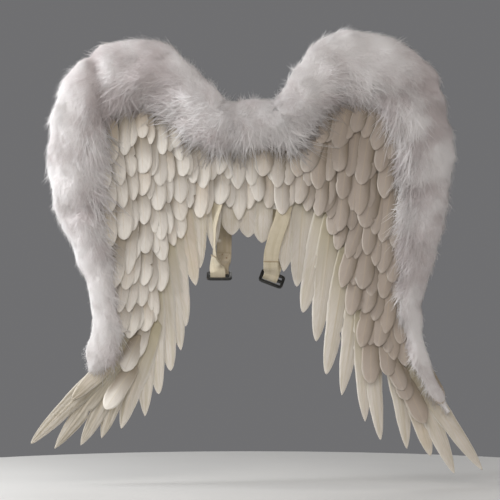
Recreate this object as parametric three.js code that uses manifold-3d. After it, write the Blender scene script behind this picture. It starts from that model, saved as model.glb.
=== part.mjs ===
// White feathered costume wings: felt panels, a band of down along the leading edge, rows of short
// feathers, long flight feathers below and two elastic shoulder loops with black slides
import * as THREE from "three";
import { mergeVertices } from "three/addons/utils/BufferGeometryUtils.js";
import Module from "manifold-3d";

const wasm = await Module();
wasm.setup();

// Driving dimensions in millimetres: X across the shoulders, Y towards the wearer, Z up
// The origin is the middle of the yoke's flat back. Depth is measured forward from the felt's face
const FELT = 2.5;
const GAP = 0.4;
const YOKE = { half: 30, top: 62, bottom: -96 };
const SWEEP = { startX: 40, reachX: 350, backX: 30, startZ: -100, reachZ: 440, backZ: 14 };
const FLIGHT = { first: 0.5, pitch: 1.2, crown: 0.9, hollow: 0 };
const COVERT = { base: 3.4, rise: 0.074, riseFrom: 50, top: 60, pitch: 45, step: 2.4 };
const COVERT_FORM = { crown: 2, hollow: 0.3 };
const STAGGER = 11;
const STRAY = { x: 5, z: 5, lean: 6 };
const TAPE = { half: 5, thick: 1.1, sunk: 0.3, fromRoot: 3 };
const LOCK = { radius: 0.4, length: 1.7, sunk: 0.3, deep: 0.75 };
const STRAP = { width: 25, thick: 1.5, doubled: 36, sewnFrom: 22, sewnGap: 0.6, straight: 9 };
const SLIDE = { long: 42, wide: 30, bar: 5, thick: 4, corner: 6 };
const WHITE = 0xf2efe8;
const CREAM = 0xe6dcc4;
const BLACK = 0x1c1d1b;

const columns = (names, rows) => {
  return rows.map((row) => Object.fromEntries(names.map((name, i) => [name, row[i]])));
};

// The wings sweep back towards the wearer at their outer and lower ends
function sweep(x, z) {
  const out = Math.max(Math.abs(x) - SWEEP.startX, 0) / SWEEP.reachX;
  const low = Math.max(SWEEP.startZ - z, 0) / SWEEP.reachZ;
  return SWEEP.backX * out * out + SWEEP.backZ * low * low;
}

function place(x, depth, z) {
  return new THREE.Vector3(x, sweep(x, z) - FELT - depth, z);
}

function solid(positions, faces) {
  const at = (i) => new THREE.Vector3().fromArray(positions, 3 * i);
  let volume = 0;
  for (let f = 0; f < faces.length; f += 3) {
    volume += at(faces[f]).dot(at(faces[f + 1]).cross(at(faces[f + 2])));
  }
  const outward = volume > 0 ? faces : faces.toReversed();
  const vertProperties = new Float32Array(positions);
  const triVerts = new Uint32Array(outward);
  return new wasm.Manifold(new wasm.Mesh({ numProp: 3, vertProperties, triVerts }));
}

const join = (bodies) => bodies.reduce((whole, body) => whole.add(body));

// A closed body through rings that all have the same even number of points. Swap chooses the other
// diagonal for face i between ring r and the next
function loft(rings, swap = () => false) {
  const count = rings[0].length;
  const last = (rings.length - 1) * count;
  const faces = [];
  const quad = (a, b, c, d) => faces.push(a, b, c, a, c, d);
  for (let r = 0; r + 1 < rings.length; r += 1) {
    for (let i = 0; i < count; i += 1) {
      const a = r * count + i;
      const b = r * count + ((i + 1) % count);
      const corners = [a, b, b + count, a + count];
      if (swap(r, i)) corners.push(corners.shift());
      quad(...corners);
    }
  }
  for (let i = 0; i + 1 < count / 2; i += 1) {
    quad(i + 1, i, count - 1 - i, count - 2 - i);
    quad(last + i, last + i + 1, last + count - 2 - i, last + count - 1 - i);
  }
  return solid(rings.flat().flatMap((p) => [p.x, p.y, p.z]), faces);
}

const group = new THREE.Group();

function add(name, body, color, roughness = 0.85) {
  const { vertProperties, triVerts } = body.getMesh();
  const geometry = new THREE.BufferGeometry();
  geometry.setAttribute("position", new THREE.BufferAttribute(vertProperties, 3));
  geometry.setIndex(new THREE.BufferAttribute(triVerts, 1));
  geometry.computeVertexNormals();
  const material = new THREE.MeshStandardMaterial({ color, roughness, name: `${name}_finish` });
  const mesh = new THREE.Mesh(geometry, material);
  mesh.name = name;
  group.add(mesh);
}

// Feathers: a thin lens in section, thickest along the shaft. Lean is in degrees towards +X
const FLIGHT_VANE = columns(["at", "share"], [
  [0, 0.4], [0.12, 1.15], [0.34, 1.28], [0.58, 1.08], [0.8, 0.88], [0.93, 0.55], [1, 0.14],
]);
const COVERT_VANE = columns(["at", "share"], [
  [0, 0.4], [0.34, 0.9], [0.66, 1], [0.88, 0.72], [1, 0.16],
]);

function feather({ x, z, lean, length, width }, { crown, hollow }, vane, depthAt) {
  const turn = THREE.MathUtils.degToRad(lean);
  const along = new THREE.Vector2(Math.sin(turn), -Math.cos(turn));
  const across = new THREE.Vector2(-along.y, along.x);
  const rings = vane.map(({ at, share }) => {
    const middle = new THREE.Vector2(x, z).addScaledVector(along, (at - 1) * length);
    const high = crown * Math.min(Math.max(share, 0.3), 1);
    const point = (side, lift) => {
      const p = middle.clone().addScaledVector(across, side * share * width * 0.5);
      return place(p.x, depthAt(p.x, p.y) + lift, p.y);
    };
    return [point(-1, 0), point(0, high), point(1, 0), point(0, hollow * high)];
  });
  return loft(rings);
}

// Flight feathers, from the body out to the wing tip. Each lies in front of the one before it
const FLIGHT_COLUMNS = ["x", "z", "lean", "length", "width"];
const FLIGHT_LEFT = columns(FLIGHT_COLUMNS, [
  [-60, -167, 4, 130, 26],
  [-84, -196, 4, 150, 31],
  [-90, -226, 12, 160, 34],
  [-107, -294, 9, 165, 38],
  [-115, -334, 9, 165, 32],
  [-132, -368, 7, 165, 32],
  [-152, -407, 3, 165, 30],
  [-175, -444, 1, 165, 31],
  [-215, -465, -18, 140, 31],
  [-248, -481, -17, 145, 30],
  [-283, -493, -28, 150, 28],
  [-327, -499, -36, 165, 27],
  [-367, -491, -46, 172, 25],
]);
const FLIGHT_RIGHT = columns(FLIGHT_COLUMNS, [
  [54, -200, -8, 138, 30],
  [78, -228, -5, 150, 32],
  [88, -271, -13, 165, 33],
  [110, -319, -7, 165, 33],
  [127, -374, -9, 165, 30],
  [153, -409, -8, 165, 28],
  [192, -453, 1, 165, 27],
  [218, -484, 5, 170, 26],
  [262, -499, 13, 165, 29],
  [302, -511, 17, 160, 31],
  [342, -541, 23, 170, 28],
  [390, -536, 35, 185, 25],
]);

// Rows of short feathers, by the line of their tips from the outer end to the inner or far end
// A higher level lies further behind and lower down. Rows 2 and 3 run across both wings
const COVERT_ROWS = columns(
  ["name", "level", "x", "z", "viaX", "viaZ", "toX", "toZ", "count", "length", "width", "lean", "toLean"],
  [
    ["coverts_left_1", 1, -208, 1, -160, 35, -102, -34, 5, 44, 22, 2, 14],
    ["coverts_right_1", 1, 210, 8, 156, 34, 92, -22, 5, 46, 27, -8, -18],
    ["coverts_row_2", 2, -213, -50, -5, -66, 214, -46, 14, 58, 28, 8, -12],
    ["coverts_row_3", 3, -214, -88, 0, -116, 218, -90, 14, 70, 28, 8, -12],
    ["coverts_left_4", 4, -213, -140, -168, -144, -113, -128, 4, 68, 28, 2, 11],
    ["coverts_right_4", 4, 222, -140, 186, -142, 118, -118, 4, 68, 30, -7, -14],
    ["coverts_left_5", 5, -204, -193, -168, -186, -118, -156, 4, 68, 25, 0, 12],
    ["coverts_right_5", 5, 222, -190, 190, -192, 138, -156, 4, 68, 26, -9, -15],
    ["coverts_left_6", 6, -203, -226, -186, -256, -148, -226, 3, 68, 27, -7, 9],
    ["coverts_right_6", 6, 217, -236, 194, -262, 154, -216, 3, 68, 28, -7, -14],
    ["coverts_left_7", 7, -206, -262, -190, -282, -154, -276, 3, 68, 23, -9, 7],
    ["coverts_right_7", 7, 221, -290, 200, -306, 168, -264, 3, 68, 28, -8, -14],
    ["coverts_left_8", 8, -202, -306, -190, -318, -171, -318, 2, 66, 29, -8, 3],
    ["coverts_right_8", 8, 240, -342, 218, -348, 186, -318, 3, 68, 28, 2, -9],
    ["coverts_left_9", 9, -238, -425, -214, -386, -187, -338, 3, 70, 26, -30, -4],
    ["coverts_right_9", 9, 258, -390, 236, -392, 200, -376, 3, 72, 28, 18, 4],
    ["coverts_right_10", 10, 290, -440, 276, -442, 258, -430, 2, 70, 28, 26, 14],
  ],
);

// The down band, by sections along its middle from the yoke to the wing tip
// Half is the half width across the band, back and front its depths
const DOWN_COLUMNS = ["x", "z", "half", "back", "front"];
const DOWN_LEFT = columns(DOWN_COLUMNS, [
  [-55.8, 45, 42, 0.4, 40],
  [-72, 54, 44, 0.4, 41],
  [-97, 77, 47, 0.4, 42],
  [-135, 112, 50, 0.4, 43],
  [-178, 128, 57, 0.4, 44],
  [-228, 121, 58, 0.4, 44],
  [-264, 96, 53, 0.4, 44],
  [-284, 55, 49, 0.4, 44],
  [-289, -3, 51, 0.4, 44],
  [-288, -62, 50, 0.4, 43],
  [-284, -105, 38, 0.4, 40],
  [-272, -150, 34, 0.4, 42],
  [-256, -200, 28, 1, 39],
  [-247, -252, 23, 3, 37],
  [-241, -300, 24, 7, 38],
  [-251, -343, 22, 18, 40],
  [-269, -374, 9, 18.5, 32],
]);
const DOWN_RIGHT = columns(DOWN_COLUMNS, [
  [55.8, 45, 42, 0.4, 40],
  [68, 58, 43, 0.4, 41],
  [88, 86, 42, 0.4, 42],
  [114, 116, 50, 0.4, 43],
  [150, 138, 60, 0.4, 44],
  [200, 135, 61, 0.4, 44],
  [246, 117, 56, 0.4, 44],
  [272, 90, 55, 0.4, 44],
  [284, 47, 52, 0.4, 44],
  [292, -13, 50, 0.4, 44],
  [291, -72, 42, 0.4, 42],
  [285, -127, 37, 0.4, 44],
  [278, -183, 33, 0.4, 41],
  [268, -233, 25, 1, 39],
  [267, -272, 21, 4, 38],
  [274, -317, 18, 11, 37],
  [292, -368, 16, 17, 38],
  [314, -412, 13, 17, 34],
  [326, -430, 6, 17.5, 28],
]);
const DOWN_YOKE = columns(DOWN_COLUMNS, [
  [-55, 45, 42, 0.4, 40],
  [-27, 44, 40, 0.4, 38],
  [4, 44, 41, 0.4, 39],
  [30, 45, 40, 0.4, 38],
  [55, 45, 42, 0.4, 40],
]);
const DOWN_POINTS = 10;
const DOWN_BETWEEN = 2;
const LOCK_RINGS = columns(["at", "share"], [
  [-0.45, 0.2], [-0.2, 0.85], [0.1, 1], [0.35, 0.7], [0.55, 0.15],
]);
const LOCK_SIDES = [0.5, -0.25, 0.15];

function smooth(sections) {
  const lines = new THREE.CatmullRomCurve3(sections.map(({ x, z, half }) => new THREE.Vector3(x, z, half)));
  const depths = new THREE.CatmullRomCurve3(
    sections.map(({ back, front }) => new THREE.Vector3(back, front, 0)),
  );
  const count = (sections.length - 1) * DOWN_BETWEEN;
  return Array.from({ length: count + 1 }, (_, i) => {
    const [x, z, half] = lines.getPoint(i / count).toArray();
    const [back, front] = depths.getPoint(i / count).toArray();
    return { x, z, half, back, front };
  });
}

function heading(sections, i) {
  const before = sections[Math.max(i - 1, 0)];
  const after = sections[Math.min(i + 1, sections.length - 1)];
  const rise = i === 0 || sections === DOWN_YOKE ? 0 : after.z - before.z;
  return new THREE.Vector2(after.x - before.x, rise).normalize();
}

function downRing(section, along) {
  const across = new THREE.Vector2(-along.y, along.x);
  const middle = (section.back + section.front) / 2;
  const deep = (section.front - section.back) / 2;
  return Array.from({ length: DOWN_POINTS }, (_, i) => {
    const turn = (2 * Math.PI * (i + 0.5)) / DOWN_POINTS;
    const out = (section.half * Math.cos(turn)) / Math.cos(Math.PI / DOWN_POINTS);
    const depth = middle + deep * Math.sin(turn);
    return place(section.x + across.x * out, depth, section.z + across.y * out);
  });
}

// A lock of down lies on the front of the band and points along it, turned towards the wing tip
function lock(section, along, side) {
  const across = new THREE.Vector2(-along.y, along.x);
  const radius = LOCK.radius * section.half;
  const length = LOCK.length * section.half;
  const bulge = ((section.front - section.back) / 2) * (1 + Math.sqrt(1 - side * side));
  const rings = LOCK_RINGS.map(({ at, share }) => {
    return Array.from({ length: 6 }, (_, i) => {
      const turn = (Math.PI * i) / 3;
      const out = side * section.half + share * radius * Math.cos(turn);
      const run = at * length;
      const lift = share * LOCK.deep * Math.sin(turn) - LOCK.sunk;
      const depth = section.back + bulge + lift * radius;
      const x = section.x + along.x * run + across.x * out;
      return place(x, depth, section.z + along.y * run + across.y * out);
    });
  });
  return loft(rings);
}

function down(sections) {
  const finer = sections === DOWN_YOKE ? sections : smooth(sections);
  const bodies = [loft(finer.map((section, i) => downRing(section, heading(finer, i))))];
  for (let i = 2; i + 3 < sections.length; i += 2) {
    bodies.push(lock(sections[i], heading(sections, i), LOCK_SIDES[(i / 2) % LOCK_SIDES.length]));
  }
  return join(bodies);
}

// Felt panels: a wing panel spans from under the down band to the roots of the flight feathers
const PANEL_LOWER_LEFT = [[-30.4, -96], [-105, -112], [-158, -205], [-178, -310], [-236, -388]];
const PANEL_LOWER_RIGHT = [[30.4, -96], [105, -120], [155, -215], [196, -330], [284, -412]];
const PANEL_INSIDE = 30.4;
const PANEL_OUT = 0.3;
const PANEL_STEPS = 12;
const PANEL_ACROSS = 3;

function panel(sections, lowerPoints) {
  const upper = sections.slice(1, -1).map((section, i) => {
    const along = heading(sections, i + 1);
    const out = PANEL_OUT * section.half * -Math.sign(along.x || 1) * Math.sign(-section.x);
    return new THREE.Vector3(section.x - along.y * out, 0, section.z + along.x * out);
  });
  upper.unshift(new THREE.Vector3(PANEL_INSIDE * Math.sign(sections[0].x), 0, YOKE.top));
  const lower = lowerPoints.map(([x, z]) => new THREE.Vector3(x, 0, z));
  const top = new THREE.CatmullRomCurve3(upper);
  const low = new THREE.CatmullRomCurve3(lower);
  const rings = [];
  for (let s = 0; s <= PANEL_STEPS; s += 1) {
    const a = top.getPointAt(s / PANEL_STEPS);
    const b = low.getPointAt(s / PANEL_STEPS);
    const front = [];
    const back = [];
    for (let k = 0; k <= PANEL_ACROSS; k += 1) {
      const p = a.clone().lerp(b, k / PANEL_ACROSS);
      front.push(place(p.x, 0, p.z));
      back.unshift(place(p.x, -FELT, p.z));
    }
    rings.push([...front, ...back]);
  }
  return loft(rings);
}

function yokePanel() {
  const rings = [-YOKE.half, YOKE.half].map((x) => [
    place(x, 0, YOKE.top),
    place(x, 0, YOKE.bottom),
    place(x, -FELT, YOKE.bottom),
    place(x, -FELT, YOKE.top),
  ]);
  return loft(rings);
}

add("backing_left", panel(DOWN_LEFT, PANEL_LOWER_LEFT), WHITE);
add("backing_yoke", yokePanel(), WHITE);
add("backing_right", panel(DOWN_RIGHT, PANEL_LOWER_RIGHT), WHITE);

// Flight feathers and the three long feathers under the yoke
function flights(side, table) {
  table.forEach((spec, i) => {
    const depth = FLIGHT.first + FLIGHT.pitch * i;
    const body = feather(spec, FLIGHT, FLIGHT_VANE, () => depth);
    add(`flight_${side}_${i + 1}`, body, WHITE);
  });
}
flights("left", FLIGHT_LEFT);
flights("right", FLIGHT_RIGHT);

function tape(points, depthAt) {
  const rings = points.map(({ x, z }) => {
    const point = (rise, lift) => place(x, depthAt(x, z) + lift, z + rise);
    const { half, thick, sunk } = TAPE;
    return [point(half, -sunk), point(half, thick), point(-half, thick), point(-half, -sunk)];
  });
  return loft(rings);
}

function featherRow(specs, form, depthAt) {
  const bodies = specs.map((spec) => feather(spec, form, COVERT_VANE, depthAt));
  const roots = specs.map(({ x, z, lean, length }) => {
    const turn = THREE.MathUtils.degToRad(lean);
    const up = length - TAPE.fromRoot;
    return { x: x - Math.sin(turn) * up, z: z + Math.cos(turn) * up };
  });
  bodies.push(tape(roots, depthAt));
  return join(bodies);
}

const TAIL = columns(["x", "z", "lean", "length", "width"], [
  [-30, -142, 3, 100, 28],
  [-3, -146, 0, 100, 28],
  [20, -155, -3, 108, 26],
]);
add("yoke_tail_row", featherRow(TAIL, FLIGHT, () => FLIGHT.first), WHITE);

// A number from -1 to 1 that scatters the feathers of a row the same way every time
function stray(i, row, salt) {
  const spread = Math.sin(12.9898 * (i + 1) + 78.233 * (row + 1) + 37.719 * salt) * 43758.5453;
  return 2 * (spread - Math.floor(spread)) - 1;
}

// Rows of short feathers
for (const [r, row] of COVERT_ROWS.entries()) {
  const tips = new THREE.QuadraticBezierCurve(
    new THREE.Vector2(row.x, row.z),
    new THREE.Vector2(row.viaX, row.viaZ),
    new THREE.Vector2(row.toX, row.toZ),
  );
  const rootLevel = COVERT.top - COVERT.pitch * (row.level - 1);
  const depthAt = (x, z) => {
    const rise = COVERT.rise * Math.max(Math.abs(x) - COVERT.riseFrom, 0);
    return COVERT.base + rise + (COVERT.step / COVERT.pitch) * (rootLevel - z);
  };
  const specs = Array.from({ length: row.count }, (_, i) => {
    const share = i / (row.count - 1);
    const tip = tips.getPointAt(share);
    const x = tip.x + STRAY.x * stray(i, r, 1);
    const drop = (i % 2 ? -STAGGER : STAGGER) + STRAY.z * stray(i, r, 2);
    const lean = row.lean + (row.toLean - row.lean) * share + STRAY.lean * stray(i, r, 3);
    return { x, z: tip.y - drop, lean, length: row.length + drop, width: row.width };
  });
  add(row.name, featherRow(specs, COVERT_FORM, depthAt), WHITE);
}

const yokeClearance = loft(DOWN_YOKE.map((section, i) => {
  const { back, front, half } = section;
  const wider = { ...section, x: section.x * 1.008, back: back - GAP, front: front + GAP, half: half + GAP };
  return downRing(wider, heading(DOWN_YOKE, i));
}));
add("marabou_left", down(DOWN_LEFT).subtract(yokeClearance), WHITE, 0.95);
add("marabou_yoke", down(DOWN_YOKE), WHITE, 0.95);
add("marabou_right", down(DOWN_RIGHT).subtract(yokeClearance), WHITE, 0.95);

// Slides: a flat black frame with a bar across its middle. Its own X lies along the bars, its Y from
// the front bar to the back bar
function slideFrame(x, y, z, bar, back) {
  const along = new THREE.Vector3(...bar).normalize();
  const rear = new THREE.Vector3(...back);
  rear.addScaledVector(along, -rear.dot(along)).normalize();
  const up = new THREE.Vector3().crossVectors(along, rear);
  return new THREE.Matrix4().makeBasis(along, rear, up).setPosition(x, y, z);
}

function slide(frame) {
  const { long, wide, bar, thick, corner } = SLIDE;
  const slotLong = long - 2 * bar;
  const slotWide = (wide - 3 * bar) / 2;
  const outline = new THREE.Shape();
  for (const [i, [sideX, sideY]] of [[1, 1], [-1, 1], [-1, -1], [1, -1]].entries()) {
    const x = sideX * (long / 2 - corner);
    const y = sideY * (wide / 2 - corner);
    outline.absarc(x, y, corner, (i * Math.PI) / 2, ((i + 1) * Math.PI) / 2);
  }
  outline.holes = [-1, 1].map((side) => {
    const middle = (side * (bar + slotWide)) / 2;
    const ends = [[-1, -1], [1, -1], [1, 1], [-1, 1]];
    const point = ([x, y]) => new THREE.Vector2((x * slotLong) / 2, middle + (y * slotWide) / 2);
    return new THREE.Path(ends.map(point));
  });
  const settings = { depth: thick, bevelEnabled: false, curveSegments: 1 };
  const geometry = new THREE.ExtrudeGeometry(outline, settings);
  geometry.translate(0, 0, -thick / 2).applyMatrix4(frame);
  geometry.deleteAttribute("normal");
  geometry.deleteAttribute("uv");
  const merged = mergeVertices(geometry);
  return solid(Array.from(merged.attributes.position.array), Array.from(merged.index.array));
}

// Straps: elastic webbing. The end goes round a bar of the slide, doubles back and is sewn
const BAR_STEP = SLIDE.wide / 2 - SLIDE.bar / 2;
const WRAP_SLACK = 0.6;
const WRAP = SLIDE.bar / 2 + GAP + STRAP.thick / 2 + WRAP_SLACK;
const ROUTE_STEPS = 200;
const WRAP_STEPS = 5;
const DOUBLED_STEPS = 4;

// Both layers of a doubled strap are split along the same diagonals, so a twist keeps them apart
function ribbon(stations, turnsAt) {
  const rings = stations.map(({ p, w }, i) => {
    const before = stations[Math.max(i - 1, 0)].p;
    const after = stations[Math.min(i + 1, stations.length - 1)].p;
    const along = after.clone().sub(before).normalize();
    const across = w.clone().addScaledVector(along, -w.dot(along)).normalize();
    const out = new THREE.Vector3().crossVectors(along, across);
    const corner = (side, face) => {
      const edge = p.clone().addScaledVector(across, (side * STRAP.width) / 2);
      return edge.addScaledVector(out, (face * STRAP.thick) / 2);
    };
    return [corner(1, 1), corner(1, -1), corner(-1, -1), corner(-1, 1)];
  });
  return loft(rings, (r, i) => r < turnsAt === i < 2);
}

// Turn is the angle of the strap's width from the X axis, in degrees, at each point of the route
function strap(frame, barX, barY, steps, route) {
  const local = (y, z) => new THREE.Vector3(barX, barY + y, z).applyMatrix4(frame);
  const bar = new THREE.Vector3().setFromMatrixColumn(frame, 0);
  const start = local(WRAP, 0);
  const leave = local(WRAP, STRAP.straight);
  const places = [start, leave, ...route.map(({ x, y, z }) => new THREE.Vector3(x, y, z))];
  const widths = route.map(({ turn }) => {
    const angle = THREE.MathUtils.degToRad(turn);
    return new THREE.Vector3(Math.cos(angle), -Math.sin(angle), 0);
  });
  widths.unshift(bar, bar);
  const curve = new THREE.CatmullRomCurve3(places);
  const widthAt = (share) => {
    const at = share * (widths.length - 1);
    const low = Math.min(Math.floor(at), widths.length - 2);
    return widths[low].clone().lerp(widths[low + 1], at - low).normalize();
  };
  const station = (share) => ({ p: curve.getPoint(share), w: widthAt(share) });
  const lengths = curve.getLengths(ROUTE_STEPS);
  const shareAt = (run) => lengths.findIndex((length) => length >= run) / ROUTE_STEPS;

  const doubled = [];
  const main = [station(0)];
  let facing = local(-WRAP, 0).sub(start);
  for (let i = 1; i <= DOUBLED_STEPS; i += 1) {
    const run = (STRAP.doubled * i) / DOUBLED_STEPS;
    const share = shareAt(run);
    const { p, w } = station(share);
    const out = new THREE.Vector3().crossVectors(curve.getTangent(share), w).normalize();
    facing = out.multiplyScalar(Math.sign(out.dot(facing)) || 1);
    const closed = Math.min(run / STRAP.sewnFrom, 1);
    const apart = 2 * WRAP * (1 - closed) + (STRAP.thick + STRAP.sewnGap) * closed;
    main.push(station(share));
    doubled.unshift({ p: p.addScaledVector(facing, apart), w });
  }
  const sewn = shareAt(STRAP.doubled);
  for (let i = 1; i <= steps; i += 1) {
    main.push(station(sewn + ((1 - sewn) * i) / steps));
  }
  const wrap = [];
  for (let i = 0; i < WRAP_STEPS; i += 1) {
    const turn = (Math.PI * i) / WRAP_STEPS;
    const p = local(-WRAP * Math.cos(turn), -WRAP * Math.sin(turn));
    wrap.push({ p, w: bar });
  }
  return ribbon([...doubled, ...wrap, ...main], doubled.length);
}

const ROUTE_COLUMNS = ["x", "y", "z", "turn"];
const SLIDE_LEFT = slideFrame(-51, -8, -209.5, [1, 0, 0], [0, 0.905, 0.42]);
const SLIDE_RIGHT = slideFrame(36.5, -1, -214.5, [0.935, 0, -0.355], [0.27, 0.72, 0.64]);
const FRONT_LEFT = columns(ROUTE_COLUMNS, [
  [-56, -11, -192, 40],
  [-58.5, -15, -178, 76],
  [-59, -18.5, -158, 84],
  [-58.5, -18.5, -132, 78],
  [-57, -13, -112, 38],
  [-57, -8.6, -98, 0],
  [-57, -7, -80, 0],
]);
const FRONT_RIGHT = columns(ROUTE_COLUMNS, [
  [35, -16, -196, 0],
  [36, -16, -172, 0],
  [44, -14, -142, 0],
  [53, -9.2, -116, 0],
  [57, -8, -98, 0],
  [60, -7, -80, 0],
]);
const BACK_LEFT = columns(ROUTE_COLUMNS, [
  [-44.5, 9, -184, 0],
  [-43.5, 24, -160, 0],
  [-43.5, 48, -105, 0],
  [-43.5, 46, -50, 0],
  [-43.5, 20, 0, 0],
  [-43.5, 4, 22, 0],
  [-43.5, 1.3, 34, 0],
  [-43.5, 1.3, 54, 0],
]);
const BACK_RIGHT = columns(ROUTE_COLUMNS, [
  [39.5, 18, -190, 0],
  [45, 28, -160, 0],
  [46, 48, -105, 0],
  [46, 46, -50, 0],
  [46, 20, 0, 0],
  [46, 4, 22, 0],
  [46, 1.3, 34, 0],
  [46, 1.3, 54, 0],
]);
add("slide_left", slide(SLIDE_LEFT), BLACK, 0.35);
add("slide_right", slide(SLIDE_RIGHT), BLACK, 0.35);
const STRAPS = columns(["name", "slide", "barX", "barY", "steps", "route"], [
  ["front_left", SLIDE_LEFT, -2.5, 0, 12, FRONT_LEFT],
  ["front_right", SLIDE_RIGHT, -3, 0, 8, FRONT_RIGHT],
  ["back_left", SLIDE_LEFT, 3, BAR_STEP, 10, BACK_LEFT],
  ["back_right", SLIDE_RIGHT, -3.2, BAR_STEP, 10, BACK_RIGHT],
]);
for (const { name, slide, barX, barY, steps, route } of STRAPS) {
  add(`strap_${name}`, strap(slide, barX, barY, steps, route), CREAM);
}

export default group;
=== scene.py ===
import math
from collections import namedtuple

import bmesh
import bpy
import numpy as np
from mathutils import Matrix, Vector, noise


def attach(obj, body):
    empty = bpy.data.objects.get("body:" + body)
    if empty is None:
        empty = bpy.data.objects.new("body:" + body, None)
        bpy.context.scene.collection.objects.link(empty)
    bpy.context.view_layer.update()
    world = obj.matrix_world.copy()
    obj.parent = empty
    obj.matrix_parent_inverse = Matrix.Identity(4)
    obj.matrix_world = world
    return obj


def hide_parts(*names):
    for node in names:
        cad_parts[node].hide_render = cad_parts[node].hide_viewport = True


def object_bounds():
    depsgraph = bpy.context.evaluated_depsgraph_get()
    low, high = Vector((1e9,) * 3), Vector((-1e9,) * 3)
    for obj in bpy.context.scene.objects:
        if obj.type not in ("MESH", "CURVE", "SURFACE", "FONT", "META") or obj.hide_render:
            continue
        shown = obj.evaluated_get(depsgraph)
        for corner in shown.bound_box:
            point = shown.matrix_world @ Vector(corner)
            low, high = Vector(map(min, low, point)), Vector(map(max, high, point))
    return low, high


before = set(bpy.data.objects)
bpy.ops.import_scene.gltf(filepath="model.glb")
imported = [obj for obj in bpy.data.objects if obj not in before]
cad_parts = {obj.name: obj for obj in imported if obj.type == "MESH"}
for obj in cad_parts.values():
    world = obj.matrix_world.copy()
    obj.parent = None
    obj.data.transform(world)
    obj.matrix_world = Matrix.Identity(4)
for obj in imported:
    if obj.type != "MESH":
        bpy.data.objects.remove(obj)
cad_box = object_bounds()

# Felt backing: three panels of white needle felt, 2.5 mm thick, cut by hand. They carry every
# feather. The yoke panel lies flat between the shoulders, and the wing panels curve back at their
# ends. Sizes are in millimetres here and below, and MM turns them into metres.
MM = 0.001
FELT = 2.5
FELT_EDGE = 0.7
FELT_EDGE_STEPS = 2
FELT_EDGE_ANGLE = 60
FELT_WHITE = (0.80, 0.77, 0.71, 1)
FELT_GREY = (0.66, 0.63, 0.57, 1)
FELT_GRAIN = {"fuzz": 900, "patches": 45, "hairs": 260}
FELT_RAISED = 0.0012  # in metres, as every finish reads its sizes
YOKE_HALF = 30
YOKE_TOP = 62
YOKE_BOTTOM = -96
YOKE_STEPS = 18
PANEL_INSIDE = 30.4
PANEL_OUT = 0.3
PANEL_STEPS = 72
PANEL_ACROSS = 14
EDGE_STEPS = 400
SAME_PLACE = 1e-6
WAVES = ((0.35, 21, 34), (0.25, -43, 17))  # height, then how far across and down each takes
WAVES_GROW_OVER = 30
SWEEP_OUT = {"from": 40, "over": 350, "by": 30}
SWEEP_LOW = {"from": -100, "over": 440, "by": 14}

# The leading edge of each wing from the yoke to the tip: the middle of the down band, its half
# width, and the depths of its back and front from the felt's face
BAND_LEFT = [
    (-55.8, 45, 42, 0.4, 40), (-72, 54, 42.5, 0.4, 41), (-97, 77, 45, 0.4, 42),
    (-135, 112, 50, 0.4, 43), (-179, 129, 58, 0.4, 44), (-228, 121, 58, 0.4, 44),
    (-264, 96, 53, 0.4, 44), (-284, 55, 47.5, 0.4, 44), (-288, -3, 49, 0.4, 44),
    (-287, -62, 48.5, 0.4, 43), (-284, -105, 38, 0.4, 40), (-270, -150, 32, 0.4, 42),
    (-254, -200, 25.5, 1, 39), (-247, -252, 23, 3, 37), (-240, -300, 24.5, 7, 38),
    (-252, -340, 27, 18, 36), (-264, -364, 12, 18.5, 28),
]
BAND_RIGHT = [
    (55.8, 45, 42, 0.4, 40), (69, 57, 41, 0.4, 41), (90, 84, 39, 0.4, 42),
    (115, 115, 48, 0.4, 43), (150, 138, 60, 0.4, 44), (200, 135, 61, 0.4, 44),
    (246, 117, 56, 0.4, 44), (272, 90, 55, 0.4, 44), (284, 47, 52, 0.4, 44),
    (292, -13, 50, 0.4, 44), (291, -72, 42, 0.4, 42), (285, -127, 37, 0.4, 44),
    (278, -183, 33, 0.4, 41), (268, -233, 25, 1, 39), (267, -272, 21, 4, 38),
    (274, -317, 18, 11, 37), (292, -368, 16, 17, 38), (314, -412, 13, 17, 34),
    (326, -430, 6, 17.5, 28),
]
# The lower edge of each wing panel from the yoke to the tip, along the feather roots: x and z
LOWER_LEFT = [(-30.4, -96), (-105, -112), (-158, -205), (-178, -310), (-236, -388)]
LOWER_RIGHT = [(30.4, -96), (105, -120), (155, -215), (196, -330), (284, -412)]


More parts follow.
